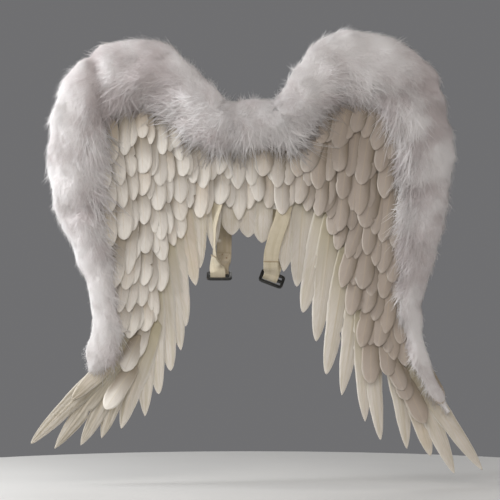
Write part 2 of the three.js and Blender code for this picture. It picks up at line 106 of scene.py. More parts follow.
class Strand:
    """A socket of a shader or geometry tree. Arithmetic on it adds Math nodes to that tree."""

    def __init__(self, tree, socket=None):
        self.tree = tree
        self.socket = socket

    def node(self, kind, settings=None, sockets=None, out=0):
        """Adds a node. Gives back one of its outputs, or a list of them where out is a tuple."""
        made = self.tree.nodes.new(kind)
        for name, value in (settings or {}).items():
            if name == "curve":
                line = made.mapping.curves[0].points
                for place, height in value[1:-1]:
                    line.new(place, height)
                for point, place in zip(line, value):
                    point.location = place
                made.mapping.update()
            else:
                setattr(made, name, value)
        for key, value in (sockets or {}).items():
            if isinstance(value, Strand):
                self.tree.links.new(value.socket, made.inputs[key])
            else:
                made.inputs[key].default_value = value
        if isinstance(out, tuple):
            return [Strand(self.tree, made.outputs[key]) for key in out]
        return Strand(self.tree, made.outputs[out])

    def math(self, operation, *values):
        return self.node("ShaderNodeMath", {"operation": operation}, dict(enumerate(values)))

    def __add__(self, other):
        return self.math("ADD", self, other)

    def __sub__(self, other):
        return self.math("SUBTRACT", self, other)

    def __rsub__(self, other):
        return self.math("SUBTRACT", other, self)

    def __mul__(self, other):
        return self.math("MULTIPLY", self, other)

    def __truediv__(self, other):
        return self.math("DIVIDE", self, other)

    def __pow__(self, other):
        return self.math("POWER", self, other)

    def __neg__(self):
        return self.math("MULTIPLY", self, -1)

    def __abs__(self):
        return self.math("ABSOLUTE", self)

    __radd__ = __add__
    __rmul__ = __mul__

    def at_least(self, low):
        return self.math("MAXIMUM", self, low)

    def at_most(self, high):
        return self.math("MINIMUM", self, high)

    def bell(self):
        """1 where this value is 0, falling away on both sides."""
        return self.math("EXPONENT", -(self * self))

    def band(self, start, end):
        """0 below start and 1 above end, with soft shoulders."""
        sockets = {"Value": self, "From Min": start, "From Max": end}
        return self.node("ShaderNodeMapRange", {"interpolation_type": "SMOOTHSTEP"}, sockets)

    def blend(self, low, high):
        """Two colours mixed by this value."""
        return self.node("ShaderNodeMix", {"data_type": "RGBA"}, {0: self, 6: low, 7: high}, 2)

    def bump(self, strength, distance):
        """A normal for a surface raised by this value."""
        sockets = {"Height": self, "Strength": strength, "Distance": distance}
        return self.node("ShaderNodeBump", sockets=sockets)

    def noise(self, scale, **sockets):
        """A cloudy pattern over this vector, from 0 to 1."""
        return self.node("ShaderNodeTexNoise", sockets={"Vector": self, "Scale": scale, **sockets})

    def parted(self, axes="XYZ"):
        """This vector's parts along the axes that are named."""
        return self.node("ShaderNodeSeparateXYZ", sockets={0: self}, out=tuple(axes))

    def joined(self, **parts):
        """A vector of the X, Y and Z that are given."""
        return self.node("ShaderNodeCombineXYZ", sockets=parts)

    def vector(self, operation, other):
        """This vector with another one added, taken away or multiplied in."""
        return self.node("ShaderNodeVectorMath", {"operation": operation}, {0: self, 1: other})

    def scaled(self, share):
        """This vector made longer or shorter."""
        return self.node("ShaderNodeVectorMath", {"operation": "SCALE"}, {0: self, "Scale": share})


def new_finish(name):
    """A new material, its shader, an empty Strand to add nodes from, and the place on the object."""
    material = bpy.data.materials.new(name)
    material.use_nodes = True
    n = Strand(material.node_tree)
    place = n.node("ShaderNodeTexCoord", out="Object")
    return material, material.node_tree.nodes["Principled BSDF"], n, place


def feed(shader, **values):
    """Sets a shader's sockets, named with _ for a space, to numbers or strands."""
    for name, value in values.items():
        socket = shader.inputs[name.replace("_", " ")]
        if isinstance(value, Strand):
            value.tree.links.new(value.socket, socket)
        else:
            socket.default_value = value


def smooth_line(points, steps):
    """A smooth curve through points, as steps + 1 places."""
    p = np.asarray(points, float)
    p = np.vstack([2 * p[0] - p[1], p, 2 * p[-1] - p[-2]])
    at = np.linspace(0, len(p) - 3, steps + 1)
    i = np.minimum(at.astype(int), len(p) - 4)
    t = (at - i)[:, None]
    a, b, c, d = (p[i + k] for k in range(4))
    spans = (np.linalg.norm(q - o, axis=1, keepdims=True) for o, q in ((a, b), (b, c), (c, d)))
    ab, bc, cd = (np.where(span > 0, np.sqrt(span), 1) for span in spans)
    leave = bc * ((b - a) / ab - (c - a) / (ab + bc) + (c - b) / bc)
    meet = bc * ((c - b) / bc - (d - b) / (bc + cd) + (d - c) / cd)
    near = (2 * t**3 - 3 * t**2 + 1) * b + (t**3 - 2 * t**2 + t) * leave
    return near + (3 * t**2 - 2 * t**3) * c + (t**3 - t**2) * meet


def run_of(line):
    """The distance along a line to each of its places."""
    return np.concatenate([[0], np.cumsum(np.linalg.norm(np.diff(line, axis=0), axis=1))])


def even_line(line, steps):
    """The same line with its places evenly spaced."""
    run = run_of(line)
    at = np.linspace(0, run[-1], steps + 1)
    return np.stack([np.interp(at, run, column) for column in line.T], axis=1)


def unit(rows):
    """The same directions, each of length 1."""
    return rows / np.linalg.norm(rows, axis=1, keepdims=True)


def headings(line):
    """Unit directions along a line of (x, z, ...) rows."""
    return unit(np.gradient(np.asarray(line, float)[:, :2], axis=0))


def sweep(x, z):
    """How far the wing leans back towards the wearer at a place, in millimetres."""
    out = np.maximum(np.abs(x) - SWEEP_OUT["from"], 0) / SWEEP_OUT["over"]
    low = np.maximum(SWEEP_LOW["from"] - z, 0) / SWEEP_LOW["over"]
    return SWEEP_OUT["by"] * out**2 + SWEEP_LOW["by"] * low**2


def wavy(x, z):
    """How far hand-cut felt waves out of its plane, in millimetres. The yoke stays flat."""
    grown = np.clip((np.abs(x) - YOKE_HALF) / WAVES_GROW_OVER, 0, 1)
    return grown * sum(high * np.sin(x / wide + z / tall) for high, wide, tall in WAVES)


def new_piece(name, places, faces, finish=None):
    mesh = bpy.data.meshes.new(name)
    mesh.from_pydata([tuple(p) for p in places], [], faces)
    mesh.validate()
    piece = bpy.data.objects.new(name, mesh)
    bpy.context.scene.collection.objects.link(piece)
    if finish:
        mesh.materials.append(finish)
    return piece


def closed_grid(front, back):
    """Vertices and faces of a sheet with a front and a back, each an array of rows of places."""
    rows, across = front.shape[:2]
    number = np.arange(rows * across).reshape(rows, across)
    rear = number + rows * across
    rim = np.concatenate([number[0, :-1], number[:-1, -1], number[-1, :0:-1], number[:0:-1, 0]])
    faces = []
    for r in range(rows - 1):
        for c in range(across - 1):
            a, b, d, e = number[r, c], number[r, c + 1], number[r + 1, c + 1], number[r + 1, c]
            faces.append((a, b, d, e))
            faces.append((rear[r, c], rear[r + 1, c], rear[r + 1, c + 1], rear[r, c + 1]))
    for a, b in zip(rim, np.roll(rim, -1)):
        faces.append((b, a, a + rows * across, b + rows * across))
    return np.vstack([front.reshape(-1, 3), back.reshape(-1, 3)]), faces


def face_outward(piece):
    """Merges doubles and turns every face of a closed shape outwards."""
    shape = bmesh.new()
    shape.from_mesh(piece.data)
    bmesh.ops.remove_doubles(shape, verts=shape.verts, dist=SAME_PLACE)
    bmesh.ops.recalc_face_normals(shape, faces=shape.faces)
    shape.to_mesh(piece.data)
    shape.free()


def settle(piece):
    """Turns a piece's modifiers into a plain mesh."""
    evaluated = piece.evaluated_get(bpy.context.evaluated_depsgraph_get())
    mesh = bpy.data.meshes.new_from_object(evaluated)
    old = piece.data
    piece.modifiers.clear()
    piece.data = mesh
    mesh.name = piece.name
    bpy.data.meshes.remove(old)


def round_edges(piece, name, width, segments, angle):
    """Rounds the edges that turn by more than an angle."""
    bevel = piece.modifiers.new(name, "BEVEL")
    bevel.width = width * MM
    bevel.segments = segments
    bevel.limit_method = "ANGLE"
    bevel.angle_limit = math.radians(angle)
    settle(piece)


felt, shader, n, place = new_finish("needle_felt")
fuzz = place.noise(FELT_GRAIN["fuzz"], Detail=4)
patches = place.noise(FELT_GRAIN["patches"], Detail=3)
hairs = place.noise(FELT_GRAIN["hairs"], Distortion=2.2)
shade = fuzz * 0.45 + patches * 0.35 + hairs * 0.3
feed(
    shader, Base_Color=shade.band(0.35, 0.72).blend(FELT_GREY, FELT_WHITE), Roughness=0.9 + fuzz * 0.08,
    Normal=(fuzz * 0.5 + hairs).bump(0.5, FELT_RAISED), Sheen_Weight=0.35, Sheen_Roughness=0.5,
    Specular_IOR_Level=0.2,
)


def felt_panel(name, node, upper, lower):
    """A sheet between two edges that have the same number of places."""
    rows = []
    for a, b in zip(upper, lower):
        rows.append([a + (b - a) * k / PANEL_ACROSS for k in range(PANEL_ACROSS + 1)])
    flat = np.array(rows)
    x, z = flat[..., 0], flat[..., 1]
    rest = sweep(x, z) + wavy(x, z)
    front = np.stack([x, rest - FELT, z], axis=-1) * MM
    back = np.stack([x, rest, z], axis=-1) * MM
    piece = new_piece(name, *closed_grid(front, back), felt)
    face_outward(piece)
    round_edges(piece, "soft cut edge", FELT_EDGE, FELT_EDGE_STEPS, FELT_EDGE_ANGLE)
    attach(piece, "root")
    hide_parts(node)


def panel_top(band):
    """The felt's upper edge, a little outside the middle of the down band."""
    rows = np.array(band, float)
    side = np.sign(rows[0, 0])
    way = headings(rows)
    out = np.stack([-way[:, 1], way[:, 0]], axis=1) * side
    edge = rows[:, :2] + out * (PANEL_OUT * rows[:, 2:3])
    return np.vstack([[side * PANEL_INSIDE, YOKE_TOP], edge[1:-1]])


for side, band, lower in (("left", BAND_LEFT, LOWER_LEFT), ("right", BAND_RIGHT, LOWER_RIGHT)):
    top_edge = even_line(smooth_line(panel_top(band), EDGE_STEPS), PANEL_STEPS)
    low_edge = even_line(smooth_line(lower, EDGE_STEPS), PANEL_STEPS)
    felt_panel(f"felt_{side}", f"backing_{side}", top_edge, low_edge)
yoke_x = np.linspace(-YOKE_HALF, YOKE_HALF, YOKE_STEPS + 1)
yoke_edges = [np.stack([yoke_x, np.full_like(yoke_x, z)], axis=1) for z in (YOKE_TOP, YOKE_BOTTOM)]
felt_panel("felt_yoke", "backing_yoke", *yoke_edges)

# Flight feathers: thirteen long white quills on the left wing, twelve on the right, from the body
# out to the tip. Each is sewn flat to the felt and lies in front of the one before it. One short
# feather more lies over the last left one.
FLIGHT_FIRST = 0.5
FLIGHT_PITCH = 1.2
FLIGHT_LEFT = [  # tip x and z, lean towards +X in degrees, length, width
    (-60, -167, 4, 130, 29), (-83, -197, 4, 150, 36), (-90, -226, 12, 160, 34),
    (-107, -294, 9, 165, 35), (-115, -334, 9, 165, 32), (-132, -368, 7, 165, 32),
    (-152, -407, 3, 165, 30), (-175, -444, 1, 165, 31), (-215, -465, -18, 140, 31),
    (-248, -481, -17, 145, 30), (-283, -493, -28, 150, 28), (-327, -499, -36, 165, 28),
    (-367, -491, -46, 172, 26),
]
FLIGHT_RIGHT = [
    (56, -203, -7, 140, 37), (78, -228, -5, 150, 32), (88, -271, -13, 165, 33),
    (110, -319, -7, 165, 31), (127, -374, -9, 165, 29), (153, -409, -8, 165, 27),
    (192, -453, 1, 165, 27), (218, -484, 5, 170, 25), (262, -499, 9, 165, 27),
    (302, -511, 17, 160, 31), (342, -541, 23, 170, 28), (390, -536, 35, 185, 25),
]
FLIGHT_OVER = {"left": (-298, -417, -46, 92, 22)}
FLIGHT_OVER_ABOVE = 2.5
FLIGHT_HIDDEN = 44
FLIGHT_TILT = 0.06
RIGHT_TILT = 0.25
TILT_OVER = 60
FLIGHT_OUTLINE = [(0, 0.85), (0.24, 1.2), (0.44, 1.24), (0.65, 1.0), (1, 0.92)]
OUTLINE_TOP = 1.3
FLIGHT_TAPER = (0.64, 0.66)  # where along the vane the tip begins, and how pointed it is
FLIGHT_CELLS = 34
FLIGHT_SIZES = {
    "Crown": 1.3 * MM, "Tip lift": 1.2 * MM, "Shaft": 0.4 * MM, "Thickness": 0.4 * MM,
    "Slant": 0.75, "Rise": 0, "Step": 0,
}
VANE_CELLS = 13
VANE_RIPPLE = 0.25
BARB_SLANT = 0.13
SPLIT_TALL = 0.022
OTHER_SPLIT_TALL = 0.02
RISE_FROM = 50
TWIST_STRAY = 0.05
BEND_STRAY = 0.03
TIP_CURL = (0.6, 1.5)
TIP_POINT = (0.85, 1.25)
SPLIT_AT = (0.5, 0.92)
SPLIT_GAP = (-0.9, 0.4)  # feathers that draw less than 0 aren't split
FEATHER_SEED = 11
QUILL_CREAM = (0.66, 0.54, 0.36, 1)
VANE_WHITE = (0.87, 0.828, 0.772, 1)
# A painted highlight along each feather's inner rim and towards the coverts' tips
VANE_HIGHLIGHT = (0.97, 0.935, 0.87, 1)
VANE_OLIVE = (0.62, 0.565, 0.41, 1)
VANE_PEACH = (0.82, 0.68, 0.52, 1)
# Painted shade over the right wing's feathers
VANE_SHADED = (0.43, 0.355, 0.30, 1)
# Painted shade towards the left wing's lower end
VANE_LOW_SHADE = (0.27, 0.23, 0.165, 1)
# Painted shade along each feather's outer side, where the next feather covers it
VANE_TUCKED_SHADE = (0.27, 0.22, 0.16, 1)
VANE_GLOW = (0.92, 0.85, 0.73, 1)
VANE_THIN = 0.3
VANE_RAISED = 0.001
SHADE_ACROSS = (-0.03, 0.17)  # x in metres, over which the vanes take on painted shade
SHADE_BELOW = (0.32, 0.42)  # metres below the origin, over which they take on painted shade
SHADE_BESIDE = (-0.26, -0.14)  # x in metres, over which that painted shade ends
ROW_NOTES = (
    "tip_x", "tip_z", "lean", "long", "wide", "deep", "level",
    "twist", "curl", "bend", "split", "gap", "point", "tint",
)
CELL_NOTES = ("away", "hand", "v", "face")


def let_light_through(material, shader, colour, share):
    """Mixes a translucent layer into a thin soft material."""
    tree = material.node_tree
    glow = tree.nodes.new("ShaderNodeBsdfTranslucent")
    glow.inputs["Color"].default_value = colour
    mix = tree.nodes.new("ShaderNodeMixShader")
    mix.inputs[0].default_value = share
    tree.links.new(shader.outputs[0], mix.inputs[1])
    tree.links.new(glow.outputs[0], mix.inputs[2])
    tree.links.new(mix.outputs[0], tree.nodes["Material Output"].inputs["Surface"])


def feather_finish(name, streaks, root, root_to, shade_share, wear_and_shade, tucked_shade, striped, pale):
    """White vane with fine barbs either side of a pale quill, darker to the root, with painted shade where
    it is covered and on the right wing, and a painted highlight at the rim.
    """
    material, shader, n, place = new_finish(name)
    across, along = n.node("ShaderNodeUVMap", {"uv_map": "UVMap"}).parted("XY")
    sideways, upward = place.parted("XZ")
    tint = n.node("ShaderNodeAttribute", {"attribute_name": "tint"}, out="Fac")
    away = abs(across - 0.5) * 2
    barb = along - away * BARB_SLANT
    streak = n.joined(X=barb * streaks, Y=away * 1.6, Z=tint * 37).noise(1, Detail=4, Roughness=0.65)
    stripe = n.joined(X=across * 7, Y=along * 1.4, Z=tint * 53).noise(1, Detail=3)
    ridges = n.math("SINE", barb * (streaks * 24))
    cloud = place.noise(55, Detail=2)

    # Darker to the root (the flights' own olive there, on the coverts painted shade under the row above),
    # peach on some feathers, streaked along the barbs and striped along the quill
    root_tone_and_shade = 1 - (along + streak * 0.3 - 0.15 + away * 0.1).band(0.1, root_to)
    vane = root_tone_and_shade.blend(VANE_WHITE, root)
    vane = (tint.band(0.72, 1.0) * (cloud * 0.6 + 0.1)).blend(vane, VANE_PEACH)
    vane = (streak.band(0.4, 0.66) * 0.3).blend(vane, root)
    vane = (stripe.band(0.45, 0.68) * striped).blend(vane, root)

    # Painted highlight towards the tip except on the right wing, painted shade over the right wing, and
    # painted shade at the left wing's lower end
    right_shade = sideways.band(*SHADE_ACROSS)
    low = (-upward).band(*SHADE_BELOW) * (1 - sideways.band(*SHADE_BESIDE)) * (0.6 + streak * 0.6)
    vane = (along.band(0.55, 0.95) * (1 - right_shade) * pale).blend(vane, VANE_HIGHLIGHT)
    vane = (right_shade * shade_share).blend(vane, VANE_SHADED)
    vane = (low * wear_and_shade * (0.5 + stripe.band(0.38, 0.66) * 0.5)).blend(vane, VANE_LOW_SHADE)

    # Painted shade along the outer side, where the next feather tucks it in, then a painted highlight
    # along the inner rim and the tip, and a cream quill
    right = sideways.band(-0.02, 0.02)
    outer = across * right + (1 - across) * (1 - right)
    vane = (outer.band(0.5, 1.0) * (1 - along.band(0.55, 0.99)) * tucked_shade).blend(vane, VANE_TUCKED_SHADE)
    rim = away.band(0.8, 0.98).at_least(along.band(0.93, 1.0) * 0.6)
    clean_and_unshaded = (1 - root_tone_and_shade * 0.5) * (1 - right_shade * shade_share * 0.75) * (1 - low * wear_and_shade * 0.7)
    vane = (rim * 0.85 * clean_and_unshaded * (1 - outer.band(0.5, 0.7) * tucked_shade)).blend(vane, VANE_HIGHLIGHT)
    quill = 1 - away.band(0.018, 0.085)
    vane = (quill * 0.32).blend(vane, QUILL_CREAM)
    feed(
        shader, Base_Color=vane, Roughness=0.6 + streak * 0.25 - quill * 0.1,
        Normal=(streak * 0.9 + ridges * 0.12 + quill * 0.2).bump(0.4, VANE_RAISED),
        Sheen_Weight=0.2, Sheen_Roughness=0.4, Specular_IOR_Level=0.25,
    )
    let_light_through(material, shader, VANE_GLOW, VANE_THIN)
    return material


def new_tree(name, sizes):
    """An empty geometry tree with a named number for each size, in metres or as a ratio."""
    tree = bpy.data.node_groups.new(name, "GeometryNodeTree")
    tree.interface.new_socket("Geometry", in_out="INPUT", socket_type="NodeSocketGeometry")
    tree.interface.new_socket("Geometry", in_out="OUTPUT", socket_type="NodeSocketGeometry")
    for size in sizes:
        tree.interface.new_socket(size, in_out="INPUT", socket_type="NodeSocketFloat")
    source = tree.nodes.new("NodeGroupInput")
    given = {socket.name: Strand(tree, socket) for socket in source.outputs if socket.name}
    return tree, given, Strand(tree)


def end_tree(n, geometry, finish):
    """Realizes what a tree made, gives it its material and sends it out."""
    real = n.node("GeometryNodeRealizeInstances", sockets={"Geometry": geometry})
    smooth = n.node("GeometryNodeSetShadeSmooth", sockets={"Geometry": real})
    done = n.node("GeometryNodeSetMaterial", sockets={"Geometry": smooth, "Material": finish})
    n.tree.links.new(done.socket, n.tree.nodes.new("NodeGroupOutput").inputs[0])


def run_tree(piece, tree, sizes):
    """Runs a geometry tree on a piece and keeps the result as its plain mesh."""
    modifier = piece.modifiers.new(tree.name, "NODES")
    modifier.node_group = tree
    for item in tree.interface.items_tree:
        if item.in_out == "INPUT" and item.name in sizes:
            modifier[item.identifier] = float(sizes[item.name])
    settle(piece)


def kept(geometry, name, value, domain="POINT", kind="FLOAT"):
    """The geometry with a value stored on it under a name."""
    settings = {"data_type": kind, "domain": domain}
    sockets = {"Geometry": geometry, "Name": name, "Value": value}
    return geometry.node("GeometryNodeStoreNamedAttribute", settings, sockets)


def read(n, name, kind="FLOAT"):
    """The value that a geometry has under a name."""
    return n.node("GeometryNodeInputNamedAttribute", {"data_type": kind}, {"Name": name})


def note(piece, name, values):
    """Stores a number or a vector for each point of a piece, for a tree to read."""
    values = np.array(values, float)
    kind, field = ("FLOAT", "value") if values.ndim == 1 else ("FLOAT_VECTOR", "vector")
    piece.data.attributes.new(name, kind, "POINT").data.foreach_set(field, values.ravel())


def forget(piece, names):
    """Removes what a tree stored or read and the finished mesh doesn't need."""
    for name in names:
        if name in piece.data.attributes:
            piece.data.attributes.remove(piece.data.attributes[name])


def felt_face(x, z):
    """The y of the felt's front face, in a tree, where x and z are strands."""
    out = (abs(x) - SWEEP_OUT["from"] * MM).at_least(0.0) / (SWEEP_OUT["over"] * MM)
    low = (SWEEP_LOW["from"] * MM - z).at_least(0.0) / (SWEEP_LOW["over"] * MM)
    return out * out * (SWEEP_OUT["by"] * MM) + low * low * (SWEEP_LOW["by"] * MM) - FELT * MM


def feather_tree(name, finish, outline, taper, cells, sizes):
    """A feather at each point: a thin closed vane, cambered, with a raised quill and split barbs."""
    tree, given, n = new_tree(name, sizes)
    grid = {"Vertices X": VANE_CELLS, "Vertices Y": cells, "Vertices Z": 2}
    block = n.node("GeometryNodeMeshCube", sockets=grid, out="Mesh")
    x, y, z = n.node("GeometryNodeInputPosition").parted()
    block = kept(block, "away", abs(x * 2) ** 1.5)
    block = kept(block, "hand", n.math("SIGN", x))
    block = kept(block, "face", n.math("SIGN", z))
    block = kept(block, "v", 1 - (0.5 - y) ** 1.3)
    each = {"Points": given["Geometry"], "Instance": block}
    feathers = n.node("GeometryNodeInstanceOnPoints", sockets=each)
    feathers = n.node("GeometryNodeRealizeInstances", sockets={"Geometry": feathers})

    # Half the width along the vane, from the root at v = 0 to the tip at v = 1
    at = {key: read(n, key) for key in ROW_NOTES + CELL_NOTES}
    v, hand, away, long, lean = at["v"], at["hand"], at["away"], at["long"], at["lean"]
    curve = [(place, share / OUTLINE_TOP) for place, share in outline]
    tall = n.node("ShaderNodeFloatCurve", {"curve": curve}, {"Value": v})
    tip = ((v - taper[0]) / (1 - taper[0])).at_least(0.0)
    share = tall * OUTLINE_TOP * (1 - tip * tip).at_least(0.0) ** (at["point"] * taper[1])
    half = share * at["wide"] * 0.5

    # Splits between the barbs, one on each side, and an uneven edge
    split = ((v - at["split"]) / SPLIT_TALL).bell() * at["gap"] * hand.at_least(0.0)
    other = ((v - (1.15 - at["split"])) / OTHER_SPLIT_TALL).bell() * (at["tint"] - 0.7).at_least(0.0)
    split = split + other * (-hand).at_least(0.0)
    edge = n.joined(X=v * 9, Y=hand * 3 + at["tint"] * 91)
    flutter = n.node("ShaderNodeTexNoise", {"noise_dimensions": "2D"}, {"Vector": edge, "Scale": 1})
    reach = away * (1 - split) * (0.95 + flutter * 0.1)
    side = hand * reach * half + at["bend"] * long * v * (1 - v)
    run = (v - 1) * long - given["Slant"] * half * (1 - reach)
    sine = n.math("SINE", lean)
    cosine = n.math("COSINE", lean)
    px = at["tip_x"] + sine * run + cosine * side
    pz = at["tip_z"] - cosine * run + sine * side

    # Depth from the felt: the layer, the camber, the lifted tip, the barbs' ripple and the quill
    depth = at["deep"] + given["Rise"] * (abs(px) - RISE_FROM * MM).at_least(0.0)
    depth = depth + given["Step"] * (at["level"] - pz)
    full = share.at_most(1.0) * (0.35 + 0.65 * v)
    depth = depth + given["Crown"] * (1 - reach * reach) * full
    depth = depth + given["Tip lift"] * at["curl"] * v * v * v + at["twist"] * hand * reach * half * v
    ripple = n.math("SINE", (v - reach * BARB_SLANT) * 46 + at["tint"] * 60) * reach * reach
    depth = depth + ripple * (VANE_RIPPLE * MM)
    radius = given["Shaft"] * (1.15 - v)
    quill = (reach * half / radius).bell() * radius * 0.7
    depth = depth + at["face"] * (given["Thickness"] * (0.5 - 0.35 * reach * reach) + quill)
    spot = n.joined(X=px, Y=felt_face(px, pz) - depth, Z=pz)
    feathers = n.node("GeometryNodeSetPosition", sockets={"Geometry": feathers, "Position": spot})
    chart = n.joined(X=hand * away * 0.5 + 0.5, Y=v)
    feathers = kept(feathers, "UVMap", chart, "CORNER", "FLOAT2")
    end_tree(n, feathers, finish)
    return tree


def feather_row(tip_x, tip_z, lean, long, wide, deep, level=0.0, wild=1.0, tilt=0.0):
    """One feather's notes: its right edge tilted up, and its own chance twist, curl and tint."""
    tilt *= min(max(-tip_x / TILT_OVER, RIGHT_TILT), 1)
    return {
        "tip_x": tip_x * MM, "tip_z": tip_z * MM, "lean": math.radians(lean), "long": long * MM,
        "wide": wide * MM, "deep": deep * MM, "level": level * MM,
        "twist": tilt + wild * chance.normal(0, TWIST_STRAY), "curl": chance.uniform(*TIP_CURL),
        "bend": chance.normal(0, BEND_STRAY), "split": chance.uniform(*SPLIT_AT),
        "gap": max(chance.uniform(*SPLIT_GAP), 0), "point": chance.uniform(*TIP_POINT),
        "tint": chance.uniform(0, 1),
    }


def feather_piece(name, nodes, notes, tree, sizes):
    """Makes one piece of a list of feathers and hides the CAD nodes it takes the place of."""
    piece = new_piece(name, np.zeros((len(notes), 3)), [])
    for key in ROW_NOTES:
        note(piece, key, [row[key] for row in notes])
    run_tree(piece, tree, sizes)
    forget(piece, ROW_NOTES[:-1] + CELL_NOTES)
    face_outward(piece)
    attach(piece, "root")
    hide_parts(*nodes)


chance = np.random.default_rng(FEATHER_SEED)
# The flights keep their own olive at the root. Their painted shade lies at the left wing's lower end,
# along their outer sides and a little over the right wing
flight_vane = feather_finish(
    "flight_vane", streaks=26, root=VANE_OLIVE, root_to=0.72, shade_share=0.14, wear_and_shade=0.95,
    tucked_shade=0.25, striped=0.5, pale=0,
)
flight_tree = feather_tree(
    "flight feathers", flight_vane, FLIGHT_OUTLINE, FLIGHT_TAPER, FLIGHT_CELLS, FLIGHT_SIZES,
)
for side, table in (("left", FLIGHT_LEFT), ("right", FLIGHT_RIGHT)):
    notes = []
    for i, (tip_x, tip_z, lean, long, wide) in enumerate(table):
        deep = FLIGHT_FIRST + FLIGHT_PITCH * i
        notes.append(feather_row(tip_x, tip_z, lean, long + FLIGHT_HIDDEN, wide, deep, tilt=FLIGHT_TILT))
    if side in FLIGHT_OVER:
        notes.append(feather_row(*FLIGHT_OVER[side], deep + FLIGHT_OVER_ABOVE, tilt=FLIGHT_TILT))
    nodes = [f"flight_{side}_{i + 1}" for i in range(len(table))]
    feather_piece(f"flight_feathers_{side}", nodes, notes, flight_tree, FLIGHT_SIZES)

# Tail feathers: three long white feathers below the yoke, between the straps. Their quills are sewn
# side by side to the yoke panel, under the rows of coverts.
TAIL = [(-30, -142, 3, 100, 28), (-3, -146, 0, 100, 28), (20, -155, -3, 108, 26)]
TAIL_PITCH = 0.5
TAIL_OUTLINE = [(0, 0.4), (0.34, 1.0), (0.66, 1.2), (0.88, 1.2), (1, 1.1)]
TAIL_TAPER = (0.74, 0.6)
TAIL_CELLS = 30
tail_tree = feather_tree("tail feathers", flight_vane, TAIL_OUTLINE, TAIL_TAPER, TAIL_CELLS, FLIGHT_SIZES)
notes = [feather_row(*row, FLIGHT_FIRST + TAIL_PITCH * i) for i, row in enumerate(TAIL)]
feather_piece("tail_feathers", ["yoke_tail_row"], notes, tail_tree, FLIGHT_SIZES)

# Coverts: rows of short rounded feathers, each row sewn by its roots to a tape, the upper rows
# over the lower ones. Two rows run right across the yoke and the others climb each wing. Between
# them lie under-feathers that close the gaps.
# The coverts' colour towards the root is painted shade, where the row above covers them
VANE_ROOT_SHADE = (0.40, 0.345, 0.27, 1)
COVERT_BASE = 3.4
COVERT_LEVEL_TOP = 60
COVERT_PITCH = 45
COVERT_STEP = 2.4
COVERT_STAGGER = 11
COVERT_STRAY = (5, 5, 6)  # of a tip across, of a tip down, and of the lean
COVERT_HIDDEN = 26
COVERT_LAP = 1.0
COVERT_GROWN = (0.88, 1.16)
COVERT_WILD = 1.8
COVERT_TILT = 0.24
TIP_LEVEL = 9  # from this row on, the rows lie open at the wing tips
UNDER_DEEPER = 1.1
UNDER_NARROWER = 0.85
UNDER_WILD = 1.5
UNDER_STRAY = {"lean": (-5, 5), "x": (-4, 4), "z": (-6, 8)}
END_OUTSIDE = 190  # a row that ends further out than this has one feather more, under the down
END_BEYOND = 0.7
END_HIGHER = 6
COVERT_COLUMNS = "name level x z via_x via_z to_x to_z count long wide lean to_lean"
CovertRow = namedtuple("CovertRow", COVERT_COLUMNS)
COVERT_ROWS = [CovertRow(*row) for row in (
    ("left_1", 1, -208, 1, -160, 35, -102, -34, 5, 44, 22, 2, 14),
    ("right_1", 1, 210, 8, 156, 34, 92, -22, 5, 46, 27, -8, -18),
    ("row_2", 2, -213, -50, -5, -66, 214, -46, 14, 58, 28, 8, -12),
    ("row_3", 3, -214, -88, 0, -116, 218, -90, 14, 70, 28, 8, -12),
    ("left_4", 4, -213, -140, -168, -144, -113, -128, 4, 68, 28, 2, 11),
    ("right_4", 4, 222, -140, 186, -142, 118, -118, 4, 68, 30, -7, -14),
    ("left_5", 5, -204, -193, -168, -186, -118, -156, 4, 68, 25, 0, 12),
    ("right_5", 5, 222, -190, 190, -192, 138, -156, 4, 68, 26, -9, -15),
    ("left_6", 6, -203, -226, -186, -256, -148, -226, 3, 68, 27, -7, 9),
    ("right_6", 6, 217, -236, 194, -262, 154, -216, 3, 68, 28, -7, -14),
    ("left_7", 7, -206, -262, -190, -282, -154, -276, 3, 68, 23, -9, 7),
    ("right_7", 7, 221, -290, 200, -306, 168, -264, 3, 68, 28, -8, -14),
    ("left_8", 8, -202, -306, -190, -318, -171, -318, 2, 66, 29, -8, 3),
    ("right_8", 8, 240, -342, 218, -348, 186, -318, 3, 68, 28, 2, -9),
    ("left_9", 9, -237, -416, -214, -386, -187, -338, 3, 70, 26, -30, -8),
    ("right_9", 9, 258, -390, 236, -392, 200, -376, 3, 72, 28, 18, 4),
    ("right_10", 10, 290, -440, 276, -442, 258, -430, 2, 70, 28, 26, 14),
)]
COVERT_FAR = {"right_10": (321, -423, 27, 80, 26)}
COVERT_OUTLINE = [(0, 0.7), (0.2, 0.95), (0.5, 1.02), (0.8, 1.06), (1, 1.0)]
COVERT_TAPER = (0.66, 0.58)
COVERT_CELLS = 26
COVERT_SIZES = {
    "Crown": 1.5 * MM, "Tip lift": 1.8 * MM, "Shaft": 0.08 * MM, "Thickness": 0.35 * MM,
    "Slant": 0.6, "Rise": 0.074, "Step": COVERT_STEP / COVERT_PITCH,
}
BOW_STEPS = 200


def row_tips(row, steps):
    """Tips evenly spaced along a row's bowed line."""
    t = np.linspace(0, 1, BOW_STEPS + 1)[:, None]
    first, via, last = np.array([(row.x, row.z), (row.via_x, row.via_z), (row.to_x, row.to_z)], float)
    return even_line((1 - t) ** 2 * first + 2 * t * (1 - t) * via + t**2 * last, steps)


def stray(i, row, salt):
    """A number from -1 to 1 that scatters feathers the same way every time."""
    return (math.sin(12.9898 * (i + 1) + 78.233 * (row + 1) + 37.719 * salt) * 43758.5453) % 1 * 2 - 1


